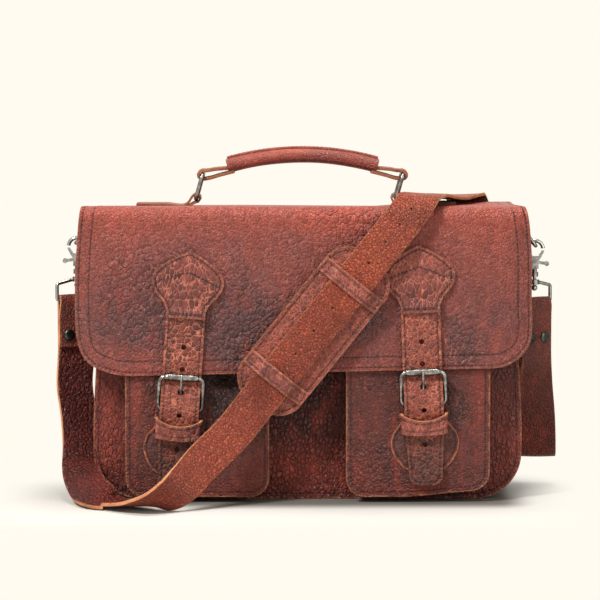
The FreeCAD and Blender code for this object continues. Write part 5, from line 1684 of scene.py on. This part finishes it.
# %% The rivets through its folded ends
RIVET_DROP = 81.2
RIVET_ASIDE = 8.5
heads = []
for eye, turn, side in (LEFT_EYE, RIGHT_EYE):
    angle = math.radians(turn)
    way = np.array([-math.sin(angle), math.cos(angle), 0]) * side
    for aside in (-RIVET_ASIDE, RIVET_ASIDE):
        at = np.array([eye[0], eye[1], eye[2] - RIVET_DROP])
        at = at + aside * np.array([math.cos(angle), math.sin(angle), 0])
        heads += [(at + way * 5.2, way), (at - way * 1.5, -way)]
domes("strap_end_rivet_heads", heads, 5.2, 2.0, "strap_end_rivets")
print(len(heads), "rivet heads on the strap")

# %% [markdown]
# ## The metal parts
# The handle's rings, the D-rings, the hooks, their levers and the loops keep the construction
# model's own shapes. A node that a piece above stands in for is hidden, and is passed over here.

# %% Finishes for the metal nodes
BRIGHT = ("snap_hook", "hook_lever", "swivel_loop")
for name, node in frame["nodes"].items():
    if node.hide_render:
        continue
    finish = nickel if name.endswith(BRIGHT) else antique
    node.data.materials.clear()
    node.data.materials.append(finish)
    print(name, "->", finish.name)

# %% [markdown]
# ## The floor and the light
# The bag stands on a cream floor. Near it the floor takes light and shadow. Further out it turns
# into the same even cream as the backdrop, so that no horizon shows. Right under the bag a
# contact shadow is painted into the floor's colour. Large soft lamps stand to the left, to the
# right and above.

# %% Floor
def beyond_box(tree, coordinates, shift, half):
    """How far a point of the floor is from a box. It is moved by shift, so that the box's middle
    comes to zero; then the length of what its distances exceed the half sizes by is taken."""
    moved = add(tree, "VectorMath", {0: coordinates, 1: (*shift, 0.0)}).outputs[0]
    over = add(tree, "VectorMath", {0: moved}, operation="ABSOLUTE").outputs[0]
    over = add(tree, "VectorMath", {0: over, 1: (*half, 0.0)}, operation="SUBTRACT").outputs[0]
    over = add(tree, "VectorMath", {0: over, 1: (0.0, 0.0, 0.0)}, operation="MAXIMUM").outputs[0]
    return add(tree, "VectorMath", {0: over}, operation="LENGTH").outputs["Value"]


CREAM = tinted(255, 251, 240)
floor_mesh = bpy.data.meshes.new("floor")
FLOOR = 6.0
FLOOR_Z = -0.0003
corners = [(-FLOOR, -FLOOR, 0), (FLOOR, -FLOOR, 0), (FLOOR, FLOOR, 0), (-FLOOR, FLOOR, 0)]
floor_mesh.from_pydata(corners, [], [(0, 1, 2, 3)])
floor = bpy.data.objects.new("floor", floor_mesh)
floor.location.z = FLOOR_Z
scene.collection.objects.link(floor)
ground = bpy.data.materials.new("floor_cream")
ground.use_nodes = True
tree = ground.node_tree
shader = tree.nodes["Principled BSDF"]
shader.inputs["Roughness"].default_value = 0.9
shader.inputs["Specular IOR Level"].default_value = 0.1
coordinates = add(tree, "TexCoord").outputs["Object"]
far = remap(tree, beyond_box(tree, coordinates, (0.03, 0.05), (0.2, 0.08)), 0.0, 0.09)
# A painted contact shadow: the floor's colour darkens within a few centimetres of the bag.
painted_contact_shadow = beyond_box(tree, coordinates, (0.0, 0.012), (0.17, 0.055))
painted_contact_shadow = remap(tree, painted_contact_shadow, 0.004, 0.04)
colour = blend_colour(tree, painted_contact_shadow, tinted(112, 107, 101), tinted(204, 200, 192))
tree.links.new(colour, shader.inputs["Base Color"])
glow = add(tree, "Emission", {"Color": CREAM, "Strength": 1.0})
far = maths(tree, "MULTIPLY", far, add(tree, "LightPath").outputs["Is Camera Ray"])
both = add(tree, "MixShader", {0: far, 1: shader.outputs[0], 2: glow.outputs[0]})
tree.links.new(both.outputs[0], tree.nodes["Material Output"].inputs["Surface"])
floor_mesh.materials.append(ground)
print("floor:", len(tree.nodes), "shader nodes")

# %% World
FILL = 0.32
world = bpy.data.worlds.new("studio")
scene.world = world
world.use_nodes = True
tree = world.node_tree
rays = add(tree, "LightPath").outputs
seen = maths(tree, "MAXIMUM", rays["Is Camera Ray"], rays["Is Transmission Ray"])
seen = maths(tree, "MAXIMUM", seen, rays["Is Glossy Ray"])
shown = add(tree, "Background", {"Color": CREAM, "Strength": 1.0})
fill = add(tree, "Background", {"Color": (1.0, 1.0, 1.0, 1.0), "Strength": FILL})
mixed = add(tree, "MixShader", {0: seen, 1: fill.outputs[0], 2: shown.outputs[0]})
output = tree.nodes.get("World Output") or tree.nodes.new("ShaderNodeOutputWorld")
tree.links.new(mixed.outputs[0], output.inputs["Surface"])
print("world fill", FILL)


# %% Lamps
def lamp(name, place, aim, size, power):
    """A square soft lamp at a place, turned to face a point."""
    data = bpy.data.lights.new(name, "AREA")
    data.size = size
    data.energy = power
    holder = bpy.data.objects.new(name, data)
    holder.location = place
    holder.rotation_euler = (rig.Vector(aim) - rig.Vector(place)).to_track_quat("-Z", "Y").to_euler()
    scene.collection.objects.link(holder)
    return holder


MIDDLE = (0.0, 0.0, 0.15)
lamps = [
    lamp("key", (-1.3, -1.4, 2.1), MIDDLE, 0.5, 76),
    lamp("fill", (1.9, -1.9, 1.0), MIDDLE, 1.8, 20),
    lamp("top", (0.2, 0.1, 2.4), MIDDLE, 0.9, 42),
]
scene.view_settings.view_transform = "Standard"
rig.stage(floor, *lamps)
print("lamps:", [holder.name for holder in lamps])

# %% [markdown]
# ## Sizes
# The shown object's box is kept beside the construction model's, to compare them.

# %% Compare the sizes
shown_box = [list(corner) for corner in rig.bounds()]
with open("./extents.json", "w") as out:
    json.dump({"cad": cad_box, "shown": shown_box}, out)
for label, corners in (("cad", cad_box), ("shown", shown_box)):
    print(label, [[round(v * 1000, 1) for v in corner] for corner in corners])
